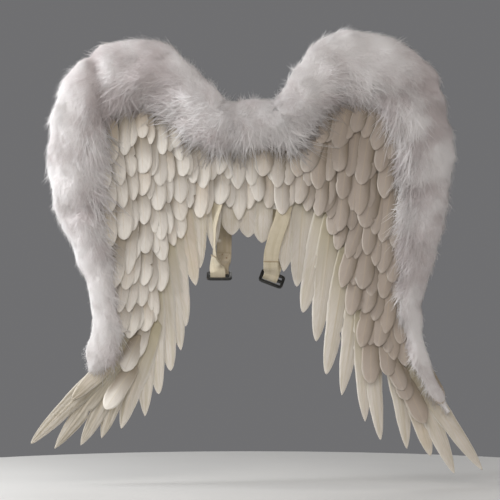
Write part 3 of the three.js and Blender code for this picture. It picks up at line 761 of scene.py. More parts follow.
def covert_notes(number, row):
    """The notes of a row's feathers, then of those under them and beyond the row's ends."""
    notes = []
    covered = row.level < TIP_LEVEL
    hidden = COVERT_HIDDEN if covered else 0
    root = COVERT_LEVEL_TOP - COVERT_PITCH * (row.level - 1)
    for i, tip in enumerate(row_tips(row, row.count - 1)):
        tip_x = tip[0] + COVERT_STRAY[0] * stray(i, number, 1)
        drop = (-COVERT_STAGGER if i % 2 else COVERT_STAGGER) + COVERT_STRAY[1] * stray(i, number, 2)
        turn = row.lean + (row.to_lean - row.lean) * i / (row.count - 1)
        turn += COVERT_STRAY[2] * stray(i, number, 3)
        deep = COVERT_BASE + (COVERT_LAP if i % 2 else 0)
        wide = row.wide * chance.uniform(*COVERT_GROWN)
        long = row.long + drop + hidden
        notes.append(feather_row(
            tip_x, tip[1] - drop, turn, long, wide, deep,
            level=root, wild=COVERT_WILD, tilt=COVERT_TILT,
        ))
    under = []
    deep = COVERT_BASE - UNDER_DEEPER
    long = row.long + hidden
    for one, two in zip(notes, notes[1:]) if covered else ():
        tip_x, tip_z = ((one[key] + two[key]) / 2 / MM for key in ("tip_x", "tip_z"))
        turn = math.degrees(one["lean"] + two["lean"]) / 2 + chance.uniform(*UNDER_STRAY["lean"])
        tip_x += chance.uniform(*UNDER_STRAY["x"])
        tip_z += chance.uniform(*UNDER_STRAY["z"])
        under.append(feather_row(
            tip_x, tip_z, turn, long, row.wide * UNDER_NARROWER, deep,
            level=root, wild=UNDER_WILD, tilt=COVERT_TILT,
        ))
    if row.name in COVERT_FAR:
        under.append(feather_row(*COVERT_FAR[row.name], deep=0, level=root, tilt=COVERT_TILT))
    for end, inner in ((notes[0], notes[1]), (notes[-1], notes[-2])):
        if covered and abs(end["tip_x"]) > END_OUTSIDE * MM:
            tip_x, tip_z = (
                (end[key] + END_BEYOND * (end[key] - inner[key])) / MM for key in ("tip_x", "tip_z")
            )
            under.append(feather_row(
                tip_x, tip_z + END_HIGHER, math.degrees(end["lean"]), long, row.wide, deep,
                level=root, wild=UNDER_WILD, tilt=COVERT_TILT,
            ))
    return notes + under


# The coverts darken to painted shade at the root, along their outer sides and over the right wing, with a
# painted highlight towards their tips on the left
covert_vane = feather_finish(
    "covert_vane", streaks=15, root=VANE_ROOT_SHADE, root_to=1.02, shade_share=0.78, wear_and_shade=0.0,
    tucked_shade=0.85, striped=0.2, pale=0.6,
)
covert_tree = feather_tree(
    "covert feathers", covert_vane, COVERT_OUTLINE, COVERT_TAPER, COVERT_CELLS, COVERT_SIZES,
)
for group, name in (("left", "covert_feathers_left"), ("row", "covert_feathers_yoke"),
                    ("right", "covert_feathers_right")):
    rows = [(i, row) for i, row in enumerate(COVERT_ROWS) if row.name.startswith(group)]
    notes = [feather for i, row in rows for feather in covert_notes(i, row)]
    nodes = [f"coverts_{row.name}" for i, row in rows]
    feather_piece(name, nodes, notes, covert_tree, COVERT_SIZES)

# Marabou: a thick boa of white down along the leading edge and over the yoke, glued to the felt.
# Its soft plumes lie along the wing, splay over both sides and hang over the first feathers.
BAND_YOKE = [(-27, 44, 40, 0.4, 38), (4, 44, 41, 0.4, 39), (30, 45, 40, 0.4, 38)]
DOWN_ENDS = ((-268, -371, 4, 19.5, 24), (331, -438, 2.5, 18.5, 25))
DOWN_SEAM = 55
DOWN_INSET = 2.5
DOWN_INSET_MOST = 0.45
DOWN_AROUND = 36
DOWN_BETWEEN = 6
DOWN_RIM = 0.42
INNER_THINS = 0.32
FURRY_ROUND_TO = -0.35
FURRY_BEHIND = 0.5
REACH_LEAST = 0.3
REACH_WIDTH = 60
FRINGE_LONGER = 1.1
# Painted shade along the down's inner fringe, where it hangs over the feathers
FRINGE_DARK = 0.15
OUTSIDE_SHORTER = 0.4
LUMPS = ((36, 6.5), (15, 2))  # spacing and height
SHADED_DOWN = [  # x, z, radius and strength of each patch of painted shade on the down; below 0 it paints light
    (-165, 132, 62, 0.6), (284, -190, 60, 0.35), (-262, 110, 30, 0.4), (-250, -250, 50, -0.2),
    (167, 158, 45, -0.3), (302, 30, 80, 0.25), (277, 45, 25, -0.9), (312, -5, 16, -0.8),
    (288, 128, 28, 0.4), (303, 25, 18, 0.4), (258, 103, 14, 0.4), (283, -87, 17, 0.45),
    (250, -113, 18, -0.6), (312, -112, 10, 0.5),
]
CREASES = [  # x and z from and to, half width and depth of each furrow in the down
    (-263, 165, -242, 55, 13, 9), (-274, 160, -258, 138, 9, 9), (-300, 72, -262, 20, 15, 5),
    (-306, -108, -262, -96, 13, 7), (196, 60, 158, 82, 16, 7), (326, 110, 282, 98, 12, 10),
    (338, 55, 296, 66, 13, 9), (322, -62, 282, -70, 13, 7),
]
# The crease depth that gives the fullest painted shade
CREASE_DARK = 22
DOWN_SIZES = {
    "Plumes": 8500, "Plume length": 34 * MM, "Fuzz": 130000, "Fuzz length": 13 * MM,
    "Fibre width": 0.7 * MM, "Lift": 5.5 * MM, "Ruffle": 0.27,
}
PLUME_FIBRES = 9
PLUME_SEGMENTS = 4
PLUME_SPREAD = ((-0.005, -0.006, -0.001), (0.005, 0.006, 0.001))  # in metres
PLUME_TURN = ((-0.16, -0.7, -0.42), (0.2, 0.7, 0.42))
PLUME_GROWN = ((0.8, 0.55, 0.5), (1.2, 1.15, 1.3))
PLUME_SWAY = 0.4
PLUME_SEED = 10
FUZZ_SEGMENTS = 2
FUZZ_LIFT = 0.8
FUZZ_SWAY = 1.1
FUZZ_SEED = 20
STRAND_GROWN = ((0.8, 0.65, 0.6), (1.25, 1.25, 1.25))
STRAND_TURN = ((-0.12, -0.15), (0.14, 0.15))
RUFFLED = ((-1.0, -1.0, -1.0), (1.0, 1.0, 1.0))
NOISE_MIDDLE = (0.5, 0.5, 0.5)
CLUMP_SCALE = 34
CLUMP_SHADE = 12
CLUMP_LEAN = 2.2
DOWN_ALONG = 0.75
DOWN_ALONG_FROM = 130
DOWN_SPLAY = 0.8
DOWN_DROOP = 0.45
DOWN_SCATTER = (1.0, 1.6, 1.0)
DOWN_CLEAR = 0.7
DOWN_HIGHEST = 53
DOWN_NOTES = ("furry", "reach", "hollow", "flow")
CORE_TINT = 0.4
# How much the painted shade darkens each strand's tint
SHADE_DARKENS = 1.5
DOWN_WHITE = (0.96, 0.945, 0.94, 1)
# The pink-grey of the down's painted shade
DOWN_SHADE_PINK = (0.62, 0.565, 0.56, 1)
DOWN_GLOW = (0.92, 0.89, 0.87, 1)
DOWN_THIN = 0.4

down, shader, n, place = new_finish("white_down")
# The down pales from pink-grey to white. The pink-grey is painted shade: in random cloudy patches, and
# through each strand's tint in the creases, along the inner fringe and in the listed patches
cloudy_shade = place.noise(17, Detail=3, Roughness=0.55)
wisps = place.noise(120, Detail=3)
plume_tint = n.node("ShaderNodeAttribute", {"attribute_name": "tint"}, out="Fac")
paleness = cloudy_shade * 1.2 + wisps * 0.15 + plume_tint * 0.4
feed(
    shader, Base_Color=paleness.band(0.42, 1.02).blend(DOWN_SHADE_PINK, DOWN_WHITE),
    Roughness=0.82 + wisps * 0.15, Sheen_Weight=0.3, Sheen_Roughness=0.6, Specular_IOR_Level=0.1,
)
let_light_through(down, shader, DOWN_GLOW, DOWN_THIN)


def random_between(n, low, high, seed):
    """A chance number, or a vector where low is a tuple, for each element."""
    kind, first = ("FLOAT_VECTOR", 0) if isinstance(low, tuple) else ("FLOAT", 2)
    sockets = {first: low, first + 1: high, "Seed": seed}
    return n.node("FunctionNodeRandomValue", {"data_type": kind}, sockets, first // 2)


def fibre(n, segments, width, length, lift):
    """A thin tapered strip that rises from its root and bends back down."""
    grid = {"Size X": 1, "Size Y": 1, "Vertices X": 2, "Vertices Y": segments + 1}
    strip = n.node("GeometryNodeMeshGrid", sockets=grid, out="Mesh")
    x, y = n.node("GeometryNodeInputPosition").parted("XY")
    v = y + 0.5
    aside = x * width * (1 - v * 0.85) + v * v * lift * 0.35
    spot = n.joined(X=aside, Y=v * length, Z=lift * (2.0 * v - 1.6 * v * v))
    return n.node("GeometryNodeSetPosition", sockets={"Geometry": strip, "Position": spot})


def rooted(n, core, density, strand, seed, sway):
    """A strand at chance places on the core, lying along the core's stored flow."""
    sockets = {"Mesh": core, "Density": density * read(n, "furry"), "Seed": seed}
    roots, facing = n.node(
        "GeometryNodeDistributePointsOnFaces", sockets=sockets, out=("Points", "Normal"),
    )
    # Each strand's tint is random, less the painted shade of its place
    roots = kept(roots, "tint", random_between(n, 0.0, 1.0, seed + 1) - read(n, "hollow") * SHADE_DARKENS)
    clump = n.node("ShaderNodeTexNoise", sockets={"Scale": CLUMP_SCALE, "Detail": 2}, out="Color")
    clump = clump.vector("SUBTRACT", NOISE_MIDDLE)
    ruffle = random_between(n, *RUFFLED, seed + 4)
    ruffle = ruffle.vector("ADD", clump.scaled(CLUMP_SHADE))
    roots = kept(roots, "ruffle", ruffle, kind="FLOAT_VECTOR")
    flow = read(n, "flow", "FLOAT_VECTOR").vector("ADD", clump.scaled(CLUMP_LEAN))
    axes = {"primary_axis": "Z", "secondary_axis": "Y"}
    level = n.node("FunctionNodeAxesToRotation", axes, {0: facing, 1: flow})
    turn = random_between(n, (*STRAND_TURN[0], -sway), (*STRAND_TURN[1], sway), seed + 2)
    turn = n.node("FunctionNodeEulerToRotation", sockets={0: turn})
    turn = n.node("FunctionNodeRotateRotation", {"rotation_space": "LOCAL"}, {0: level, 1: turn})
    size = random_between(n, *STRAND_GROWN, seed + 3).scaled(read(n, "reach"))
    each = {"Points": roots, "Instance": strand, "Scale": size, "Rotation": turn}
    strands = n.node("GeometryNodeInstanceOnPoints", sockets=each)
    return n.node("GeometryNodeRealizeInstances", sockets={"Geometry": strands})


def down_tree(name, finish, sizes):
    """A soft core under fine fuzz and longer plumes, all shaded by the core's own roundness."""
    tree, given, n = new_tree(name, sizes)
    core = given["Geometry"]
    strip = fibre(n, PLUME_SEGMENTS, given["Fibre width"], given["Plume length"], given["Lift"])
    spread = {"Count": PLUME_FIBRES, "Position": random_between(n, *PLUME_SPREAD, 1)}
    turn = n.node("FunctionNodeEulerToRotation", sockets={0: random_between(n, *PLUME_TURN, 2)})
    plume = n.node("GeometryNodeInstanceOnPoints", sockets={
        "Points": n.node("GeometryNodePoints", sockets=spread), "Instance": strip,
        "Scale": random_between(n, *PLUME_GROWN, 3), "Rotation": turn,
    })
    plume = n.node("GeometryNodeRealizeInstances", sockets={"Geometry": plume})
    tuft = fibre(n, FUZZ_SEGMENTS, given["Fibre width"], given["Fuzz length"], given["Lift"] * FUZZ_LIFT)
    plumes = rooted(n, core, given["Plumes"], plume, PLUME_SEED, PLUME_SWAY)
    fuzz = rooted(n, core, given["Fuzz"], tuft, FUZZ_SEED, FUZZ_SWAY)
    both = n.node("GeometryNodeJoinGeometry")
    # The core's tint carries the painted shade of its place too
    for part in (plumes, fuzz, kept(core, "tint", CORE_TINT - read(n, "hollow") * SHADE_DARKENS)):
        tree.links.new(part.socket, both.socket.node.inputs[0])

    # No fibre passes through the felt or stands off too far
    x, y, z = n.node("GeometryNodeInputPosition").parted()
    face = felt_face(x, z)
    clear = y.at_most(face - DOWN_CLEAR * MM).at_least(face - DOWN_HIGHEST * MM)
    spot = n.joined(X=x, Y=clear, Z=z)
    boa = n.node("GeometryNodeSetPosition", sockets={"Geometry": both, "Position": spot})

    # The core's own normals, ruffled fibre by fibre, so that light falls softly on the band
    sockets = {"Mesh": core, "Value": n.node("GeometryNodeInputNormal")}
    softly = n.node("GeometryNodeSampleNearestSurface", {"data_type": "FLOAT_VECTOR"}, sockets)
    ruffle = read(n, "ruffle", "FLOAT_VECTOR").scaled(given["Ruffle"])
    softly = softly.vector("MULTIPLY", DOWN_SCATTER).vector("ADD", ruffle)
    softly = n.node("ShaderNodeVectorMath", {"operation": "NORMALIZE"}, {0: softly})
    boa = n.node("GeometryNodeSetMeshNormal", {"mode": "FREE"}, {"Mesh": boa, "Custom Normal": softly})
    end_tree(n, boa, finish)
    return tree


def furrow(x, z):
    """How deep the creases run at a place, in millimetres."""
    total = 0.0
    for x0, z0, x1, z1, wide, deep in CREASES:
        way = Vector((x1 - x0, z1 - z0))
        t = min(max((Vector((x - x0, z - z0)) @ way) / way.length_squared, 0), 1)
        gap = math.hypot(x - x0 - t * way.x, z - z0 - t * way.y)
        total += deep * math.exp(-((gap / wide) ** 2))
    return total


def down_ring(section, way):
    """One ring of the core as (place, furry, reach, hollow, flow) rows, round from one side."""
    x, z, half, back, front = section
    across = np.array([-way[1], way[0]])
    inset = min(DOWN_INSET, DOWN_INSET_MOST * half)
    ring = []
    for i in range(DOWN_AROUND):
        turn = 2 * math.pi * i / DOWN_AROUND
        outward, ahead = math.cos(turn), math.sin(turn)
        inward, raised = max(-outward, 0), max(ahead, 0)
        top = back + (front - inset - back) * (1 - INNER_THINS * inward**1.3)
        rim = back + (top - back) * DOWN_RIM
        depth = rim + (top - rim) * ahead**0.55 if ahead > 0 else rim + (rim - back) * ahead
        out = (half - inset) * outward
        spot = Vector((x + across[0] * out, z + across[1] * out, depth))
        lump = sum(noise.noise(spot / wide) * high for wide, high in LUMPS)
        crease = furrow(spot.x, spot.y)
        depth += (lump - crease) * raised**0.7
        out += (lump - 0.6 * crease) * outward * abs(outward) ** 2
        px, pz = x + across[0] * out, z + across[1] * out

        fringe = inward * raised * 2
        tipward = way * DOWN_ALONG * min(max(px / DOWN_ALONG_FROM, -1), 1)
        splay = across * outward * DOWN_SPLAY
        flow = (splay[0] + tipward[0], 0.5 * fringe, splay[1] + tipward[1] - DOWN_DROOP)
        furry = 1.0 if ahead > FURRY_ROUND_TO else (FURRY_BEHIND if outward > 0.2 else 0.0)
        grown = min(1, REACH_LEAST + half / REACH_WIDTH)
        reach = grown * (1 + FRINGE_LONGER * fringe - OUTSIDE_SHORTER * max(outward, 0))
        # Painted shade in the creases, along the inner fringe and in the listed patches; a patch below 0
        # paints light
        shade_share = sum(s * math.exp(-((px - x0) ** 2 + (pz - z0) ** 2) / r**2) for x0, z0, r, s in SHADED_DOWN)
        hollow = min(1, crease / CREASE_DARK + FRINGE_DARK * fringe + shade_share)
        place = (px, sweep(px, pz) - FELT - max(depth, back), pz)
        ring.append((place, furry, reach, hollow, flow))
    return ring


def tube_faces(count, around):
    """The faces of a closed tube of rings, with a cap at each end."""
    number = np.arange(count).reshape(-1, around)
    after = np.roll(number, -1, axis=1)
    quads = np.stack([number[:-1], after[:-1], after[1:], number[1:]], axis=-1).reshape(-1, 4)
    return [tuple(quad) for quad in quads] + [tuple(number[0][::-1]), tuple(number[-1])]


def down_piece(name, node, rings):
    """The core through a run of rings, then its plumes."""
    places, *values = zip(*[row for ring in rings for row in ring])
    piece = new_piece(name, np.array(places) * MM, tube_faces(len(places), DOWN_AROUND))
    for key, column in zip(DOWN_NOTES, values):
        note(piece, key, column)
    face_outward(piece)
    piece.data.shade_smooth()
    run_tree(piece, marabou_tree, DOWN_SIZES)
    forget(piece, DOWN_NOTES + ("ruffle",))
    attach(piece, "root")
    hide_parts(node)


marabou_tree = down_tree("marabou", down, DOWN_SIZES)
chain = np.array([DOWN_ENDS[0]] + BAND_LEFT[::-1] + BAND_YOKE + BAND_RIGHT + [DOWN_ENDS[1]], float)
steps = (len(chain) - 1) * DOWN_BETWEEN
lines = np.hstack([smooth_line(chain[:, :3], steps), smooth_line(chain[:, 3:], steps)])
rings = [down_ring(section, way) for section, way in zip(lines, headings(lines))]
first = int(np.argmax(lines[:, 0] > -DOWN_SEAM))
last = int(np.argmax(lines[:, 0] > DOWN_SEAM))
down_piece("down_left", "marabou_left", rings[:first + 1])
down_piece("down_yoke", "marabou_yoke", rings[first:last + 1])
down_piece("down_right", "marabou_right", rings[last:])

# Slides: two black plastic strap adjusters, each a flat frame with a bar across it. They are
# moulded in one piece with rounded edges, and each hangs in the loops of two straps.
SLIDE_BLACK = (0.012, 0.012, 0.011, 1)
SLIDE_DUST = (0.07, 0.068, 0.06, 1)
SLIDE_RAISED = 0.0003
SLIDE_ROUND = 1.4
SLIDE_ROUND_STEPS = 4
SLIDE_ROUND_ANGLE = 40
SLIDE_FLAT_ANGLE = 3
SLIDE_SAME_PLACE = 1e-5
plastic, shader, n, place = new_finish("moulded_black_plastic")
grain = place.noise(1600, Detail=2)
# Paler dusty patches where the plastic is worn
wear_and_shade = place.noise(180, Detail=5, Roughness=0.7).band(0.52, 0.72)
feed(
    shader, Base_Color=(wear_and_shade * 0.7).blend(SLIDE_BLACK, SLIDE_DUST),
    Roughness=0.32 + wear_and_shade * 0.25 + grain * 0.06, Normal=grain.bump(0.15, SLIDE_RAISED),
    Specular_IOR_Level=0.5,
)
for side in ("left", "right"):
    piece = bpy.data.objects.new(f"slider_{side}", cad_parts[f"slide_{side}"].data.copy())
    bpy.context.scene.collection.objects.link(piece)
    piece.data.materials.clear()
    piece.data.materials.append(plastic)
    shape = bmesh.new()
    shape.from_mesh(piece.data)
    bmesh.ops.remove_doubles(shape, verts=shape.verts, dist=SLIDE_SAME_PLACE)
    nearly_flat = math.radians(SLIDE_FLAT_ANGLE)
    bmesh.ops.dissolve_limit(shape, angle_limit=nearly_flat, verts=shape.verts, edges=shape.edges)
    shape.to_mesh(piece.data)
    shape.free()
    round_edges(piece, "moulded round", SLIDE_ROUND, SLIDE_ROUND_STEPS, SLIDE_ROUND_ANGLE)
    piece.data.shade_smooth()
    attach(piece, "root")
    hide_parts(f"slide_{side}")

# Straps: cream elastic webbing, 25 mm wide. Each end goes round a bar of its slide, doubles back
# and is sewn. The front straps leave between the feathers, the back ones are sewn to the felt.
STRAP_WIDE = 25
STRAP_THICK = 1.5
STRAP_DOUBLED = 36
STRAP_SEWN_FROM = 22
STRAP_LOOSE_FROM = 30
STRAP_CURL = 0.05
STRAP_STRAIGHT = 9
STRAP_APART = 0.25
STRAP_STEPS = 110
STRAP_RIBS = 11
RIB_STEPS = 4
RIB_HIGH = 0.09
EDGE_STEEP = 14
EDGE_LEAST = 0.25
SLIDE_BAR = 5
SLIDE_WIDE = 30
WRAP_CLEAR = 1
WRAP = SLIDE_BAR / 2 + WRAP_CLEAR + STRAP_THICK / 2
WRAP_STEPS = 12
BAR_STEP = SLIDE_WIDE / 2 - SLIDE_BAR / 2
SLIDE_PLACES = {  # centre, direction of the bars, direction from the front bar to the back bar
    "left": ((-51, -8, -209.5), (1, 0, 0), (0, 0.905, 0.42)),
    "right": ((36.5, -1, -214.5), (0.935, 0, -0.355), (0.27, 0.72, 0.64)),
}
STRAP_TURNS = {  # where on its slide each strap turns: along the bars, and from the middle bar
    "front_left": (-2.5, 0), "front_right": (-3, 0),
    "back_left": (3, BAR_STEP), "back_right": (-3.2, BAR_STEP),
}
STRAP_ROUTES = {  # x, y, z and the turn of the strap's width from the X axis in degrees
    "front_left": [
        (-56, -11, -192, 40), (-58.5, -15, -178, 76), (-59, -18.5, -158, 84), (-58.5, -18.5, -132, 80),
        (-57.5, -13, -112, 62), (-57, -8.6, -98, 40), (-57, -7, -80, 0),
    ],
    "front_right": [
        (35, -16, -196, 0), (36, -16, -172, 0), (44, -14, -142, 0),
        (53, -9.2, -116, 0), (57, -8, -98, 0), (60, -7, -80, 0),
    ],
    "back_left": [
        (-44.5, 9, -184, 0), (-43.5, 24, -160, 0), (-43.5, 48, -105, 0), (-43.5, 46, -50, 0),
        (-43.5, 20, 0, 0), (-43.5, 4, 22, 0), (-43.5, 1.3, 34, 0), (-43.5, 1.3, 54, 0),
    ],
    "back_right": [
        (39.5, 18, -190, 0), (45, 28, -160, 0), (46, 48, -105, 0), (46, 46, -50, 0),
        (46, 20, 0, 0), (46, 4, 22, 0), (46, 1.3, 34, 0), (46, 1.3, 54, 0),
    ],
}
WEBBING_CREAM = (0.63, 0.56, 0.43, 1)
# The darker tone, for soil and for painted shade
WEBBING_SHADE = (0.52, 0.45, 0.31, 1)
WEBBING_RAISED = 0.0005
WEFT_PER_METRE = 5200
# A darker, browner copy for the left back strap: its own stains, and painted shade where it hangs behind
# the feathers
SHADED_STAINED_CREAM = (0.49, 0.42, 0.315, 1)
STAINED_SHADE = (0.40, 0.33, 0.22, 1)
GLUE_WHITE = (0.86, 0.83, 0.76, 1)
RUST = (0.20, 0.09, 0.04, 1)
FRAYED = (0.30, 0.22, 0.12, 1)
FRAYED_OVER = (0.0006, 0.0026)  # metres from the cut end
MARKS = [  # place and radius in metres, and colour, of each mark on the left back strap
    ((-0.0515, 0.026, -0.150), 0.0042, GLUE_WHITE), ((-0.0465, 0.012, -0.174), 0.0016, RUST),
    ((-0.0392, 0.009, -0.180), 0.0019, RUST),
]


def webbing_finish(name, clean_and_unshaded, soiled_and_shaded, fray, marks=()):
    """Cream elastic: lengthwise ribs crossed by fine weft, greyed by soil and darker along its edges, with
    painted shade between the threads and along lengthwise folds, frayed at the cut end.
    """
    material, shader, n, place = new_finish(name)
    across, along = n.node("ShaderNodeUVMap", {"uv_map": "UVMap"}).parted("XY")
    weft = n.math("SINE", along * WEFT_PER_METRE) * 0.5 + 0.5
    warp = n.math("SINE", across * (2 * math.pi * STRAP_RIBS * 2)) * 0.5 + 0.5
    soil = place.noise(70, Detail=4)
    fuzz = place.noise(1400, Detail=2)
    # Lengthwise streaks of painted shade, as along folds
    fold_shade = n.joined(X=across * 4, Y=along * 14).noise(1, Detail=3)
    edge = abs(across - 0.5).band(0.4, 0.5)
    # Soil, painted shade between the threads and along the folds, and darker edges
    dirt_and_shade = soil.band(0.42, 0.72) * 0.3 + (1 - weft * warp) * 0.28
    dirt_and_shade = dirt_and_shade + edge * 0.18 + fold_shade.band(0.42, 0.66) * 0.5
    colour = dirt_and_shade.blend(clean_and_unshaded, soiled_and_shaded)
    cut = 1 - along.band(*FRAYED_OVER)
    colour = (cut * fray).blend(colour, FRAYED)
    for spot, radius, stain in marks:
        gap = n.node("ShaderNodeVectorMath", {"operation": "DISTANCE"}, {0: place, 1: spot}, "Value")
        mask = 1 - (gap + soil * radius * 0.8).band(radius * 0.7, radius * 1.6)
        colour = (mask * 0.85).blend(colour, stain)
    feed(
        shader, Base_Color=colour, Roughness=0.72 + fuzz * 0.2,
        Normal=(weft * 0.5 + warp * 0.5 + fuzz * 0.4).bump(0.55, WEBBING_RAISED),
        Sheen_Weight=0.25, Sheen_Roughness=0.5, Specular_IOR_Level=0.25,
    )
    return material


def slide_axes(bar, back):
    """The slide's own axes as columns: along its bars, from front bar to back bar, and up."""
    along = Vector(bar).normalized()
    rear = Vector(back)
    rear = (rear - along * rear.dot(along)).normalized()
    return Matrix((along, rear, along.cross(rear))).transposed()


def strap_stations(side, bar_x, bar_y, route):
    """The strap's centre line and width directions: doubled end, turn round the bar, main run."""
    centre, *directions = SLIDE_PLACES[side]
    axes = slide_axes(*directions)
    bar = np.array(axes.col[0])

    def on_slide(y, z):
        return np.array(Vector(centre) + axes @ Vector((bar_x, bar_y + y, z)))

    rows = [on_slide(WRAP, 0), on_slide(WRAP, STRAP_STRAIGHT)] + [row[:3] for row in route]
    line = smooth_line(rows, STRAP_STEPS)
    widths = np.array([bar] * 2 + [
        (math.cos(turn), -math.sin(turn), 0) for turn in np.radians([row[3] for row in route])
    ])
    at = np.linspace(0, len(widths) - 1, STRAP_STEPS + 1)
    across = unit(np.stack([np.interp(at, range(len(widths)), column) for column in widths.T], axis=1))
    run = run_of(line)
    way = np.gradient(line, axis=0)
    facing = on_slide(-WRAP, 0) - on_slide(WRAP, 0)
    doubled = []
    for i in range(1, STRAP_STEPS + 1):
        if run[i] > STRAP_DOUBLED:
            break
        out = np.cross(way[i], across[i])
        facing = out * (np.sign(out @ facing) or 1) / np.linalg.norm(out)
        shut = min(run[i] / STRAP_SEWN_FROM, 1)
        shut = shut * shut * (3 - 2 * shut)
        loose = max(run[i] - STRAP_LOOSE_FROM, 0) ** 2 * STRAP_CURL
        apart = 2 * WRAP * (1 - shut) + (STRAP_THICK + STRAP_APART) * shut + loose
        doubled.insert(0, (line[i] + facing * apart, across[i], facing, line[i]))
    wrap = []
    for i in range(WRAP_STEPS):
        turn = math.pi * i / WRAP_STEPS
        wrap.append((on_slide(-WRAP * math.cos(turn), -WRAP * math.sin(turn)), bar))
    stations = [row[:2] for row in doubled] + wrap + list(zip(line, across))
    return np.array([s[0] for s in stations]), np.array([s[1] for s in stations]), doubled


def strap_piece(name, node, finish, line, across):
    """Sweeps a ribbed section with rounded edges along a line and charts it for the weave."""
    way = unit(np.gradient(line, axis=0))
    across = unit(across - way * (across * way).sum(axis=1, keepdims=True))
    out = np.cross(way, across)
    ribs = STRAP_RIBS * RIB_STEPS
    section = []
    for i in range(ribs + 1):
        s = 2 * i / ribs - 1
        rounded = min(1, (1 - abs(s)) * EDGE_STEEP + EDGE_LEAST)
        rib = RIB_HIGH * math.cos(2 * math.pi * STRAP_RIBS * i / ribs)
        section.append((s, (STRAP_THICK / 2 - RIB_HIGH + rib) * rounded))
    ring = section + [(s, -h) for s, h in reversed(section)]
    places = []
    chart = []
    for p, w, o, length in zip(line, across, out, run_of(line)):
        for s, h in ring:
            places.append((p + w * s * STRAP_WIDE / 2 + o * h) * MM)
            chart.append((s / 2 + 0.5, length * MM))
    piece = new_piece(name, places, tube_faces(len(places), len(ring)), finish)
    shape = bmesh.new()
    shape.from_mesh(piece.data)
    layer = shape.loops.layers.uv.new("UVMap")
    for face in shape.faces:
        for loop in face.loops:
            loop[layer].uv = chart[loop.vert.index]
    bmesh.ops.recalc_face_normals(shape, faces=shape.faces)
    shape.to_mesh(piece.data)
    shape.free()
    piece.data.shade_smooth()
    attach(piece, "root")
    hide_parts(node)


webbing = webbing_finish("cream_webbing", WEBBING_CREAM, WEBBING_SHADE, fray=0.8)
# The left back strap: its stains and marks, and painted shade where it hangs behind the feathers
stained_and_shaded = webbing_finish("stained_webbing", SHADED_STAINED_CREAM, STAINED_SHADE, fray=0.3, marks=MARKS)
sewn_ends = []
for key, route in STRAP_ROUTES.items():
    side = key.split("_")[1]
    line, across, doubled = strap_stations(side, *STRAP_TURNS[key], route)
    finish = stained_and_shaded if key == "back_left" else webbing
    strap_piece(f"webbing_{key}", f"strap_{key}", finish, line, across)
    sewn_ends.append(doubled)

# Stitching: cream thread in short straight stitches. A box of them goes through both layers of
# each doubled strap end and through the felt, and a row of them holds the roots of each covert row.
STITCH_PITCH = 2.9
STITCH_SIZES = {"Length": 2.1 * MM, "Width": 0.6 * MM}
TAPE_PITCH = 6.0
TAPE_SIZES = {"Length": 4.2 * MM, "Width": 0.7 * MM}
TAPE_ABOVE = 0.85
TAPE_INSIDE = 5
BOX_FROM = 3.5
BOX_TO = 15
BOX_HALF = 9.5
THREAD_CREAM = (0.82, 0.76, 0.63, 1)
THREAD_SHADE = (0.50, 0.42, 0.30, 1)
THREAD_RAISED = 0.0002

thread, shader, n, place = new_finish("cream_thread")
twist = {"Vector": place, "Scale": 900, "Distortion": 3}
ply = n.node("ShaderNodeTexWave", {"bands_direction": "DIAGONAL"}, twist)
lint = place.noise(500, Detail=3)
feed(
    shader, Base_Color=(lint * 0.6 + ply * 0.4).band(0.25, 0.7).blend(THREAD_SHADE, THREAD_CREAM),
    Roughness=0.55 + lint * 0.3, Normal=ply.bump(0.4, THREAD_RAISED), Sheen_Weight=0.3,
)


def stitch_tree(name, finish, sizes):
    """A rounded stitch at each point, along the point's way and flat on its facing."""
    tree, given, n = new_tree(name, sizes)
    ball = {"Segments": 6, "Rings": 4, "Radius": 0.5}
    bead = n.node("GeometryNodeMeshUVSphere", sockets=ball, out="Mesh")
    size = n.joined(X=given["Width"], Y=given["Length"], Z=given["Width"])
    facing, way = (read(n, key, "FLOAT_VECTOR") for key in ("facing", "way"))
    axes = {"primary_axis": "Z", "secondary_axis": "Y"}
    turn = n.node("FunctionNodeAxesToRotation", axes, {0: facing, 1: way})
    each = {"Points": given["Geometry"], "Instance": bead, "Rotation": turn, "Scale": size}
    end_tree(n, n.node("GeometryNodeInstanceOnPoints", sockets=each), finish)
    return tree


def box_seam(places, across, facing):
    """The (place, way, facing) of each stitch of a box on a strap's face, near its end."""
    run = run_of(places)

    def at(far, rows):
        return np.array([np.interp(far, run, column) for column in rows.T])

    found = []
    for far in BOX_FROM, BOX_TO:
        for off in np.linspace(-BOX_HALF, BOX_HALF, round(2 * BOX_HALF / STITCH_PITCH) + 1):
            found.append((at(far, places) + at(far, across) * off, at(far, across), at(far, facing)))
    for off in -BOX_HALF, BOX_HALF:
        for far in np.linspace(BOX_FROM, BOX_TO, round((BOX_TO - BOX_FROM) / STITCH_PITCH) + 1)[1:-1]:
            way = at(far + 1, places) - at(far - 1, places)
            found.append((at(far, places) + at(far, across) * off, way, at(far, facing)))
    return found


def stitch_piece(name, tree, sizes, stitches):
    places, ways, facings = zip(*stitches)
    piece = new_piece(name, np.array(places) * MM, [])
    note(piece, "way", ways)
    note(piece, "facing", facings)
    run_tree(piece, tree, sizes)
    forget(piece, ("way", "facing"))
    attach(piece, "root")


stitches = []
for doubled in sewn_ends:
    fold, across, facing, under = (np.array(column) for column in zip(*doubled))
    stitches += box_seam(fold + facing * STRAP_THICK / 2, across, facing)
    stitches += box_seam(under - facing * STRAP_THICK / 2, across, -facing)
for key in ("back_left", "back_right"):
    ends = np.array([row[:3] for row in STRAP_ROUTES[key][:-3:-1]], float)
    ends[:, 1] += STRAP_THICK / 2
    stitches += box_seam(ends, np.array([(1.0, 0, 0)] * 2), np.array([(0, 1.0, 0)] * 2))
strap_seam_tree = stitch_tree("strap seams", thread, STITCH_SIZES)
stitch_piece("strap_stitching", strap_seam_tree, STITCH_SIZES, stitches)

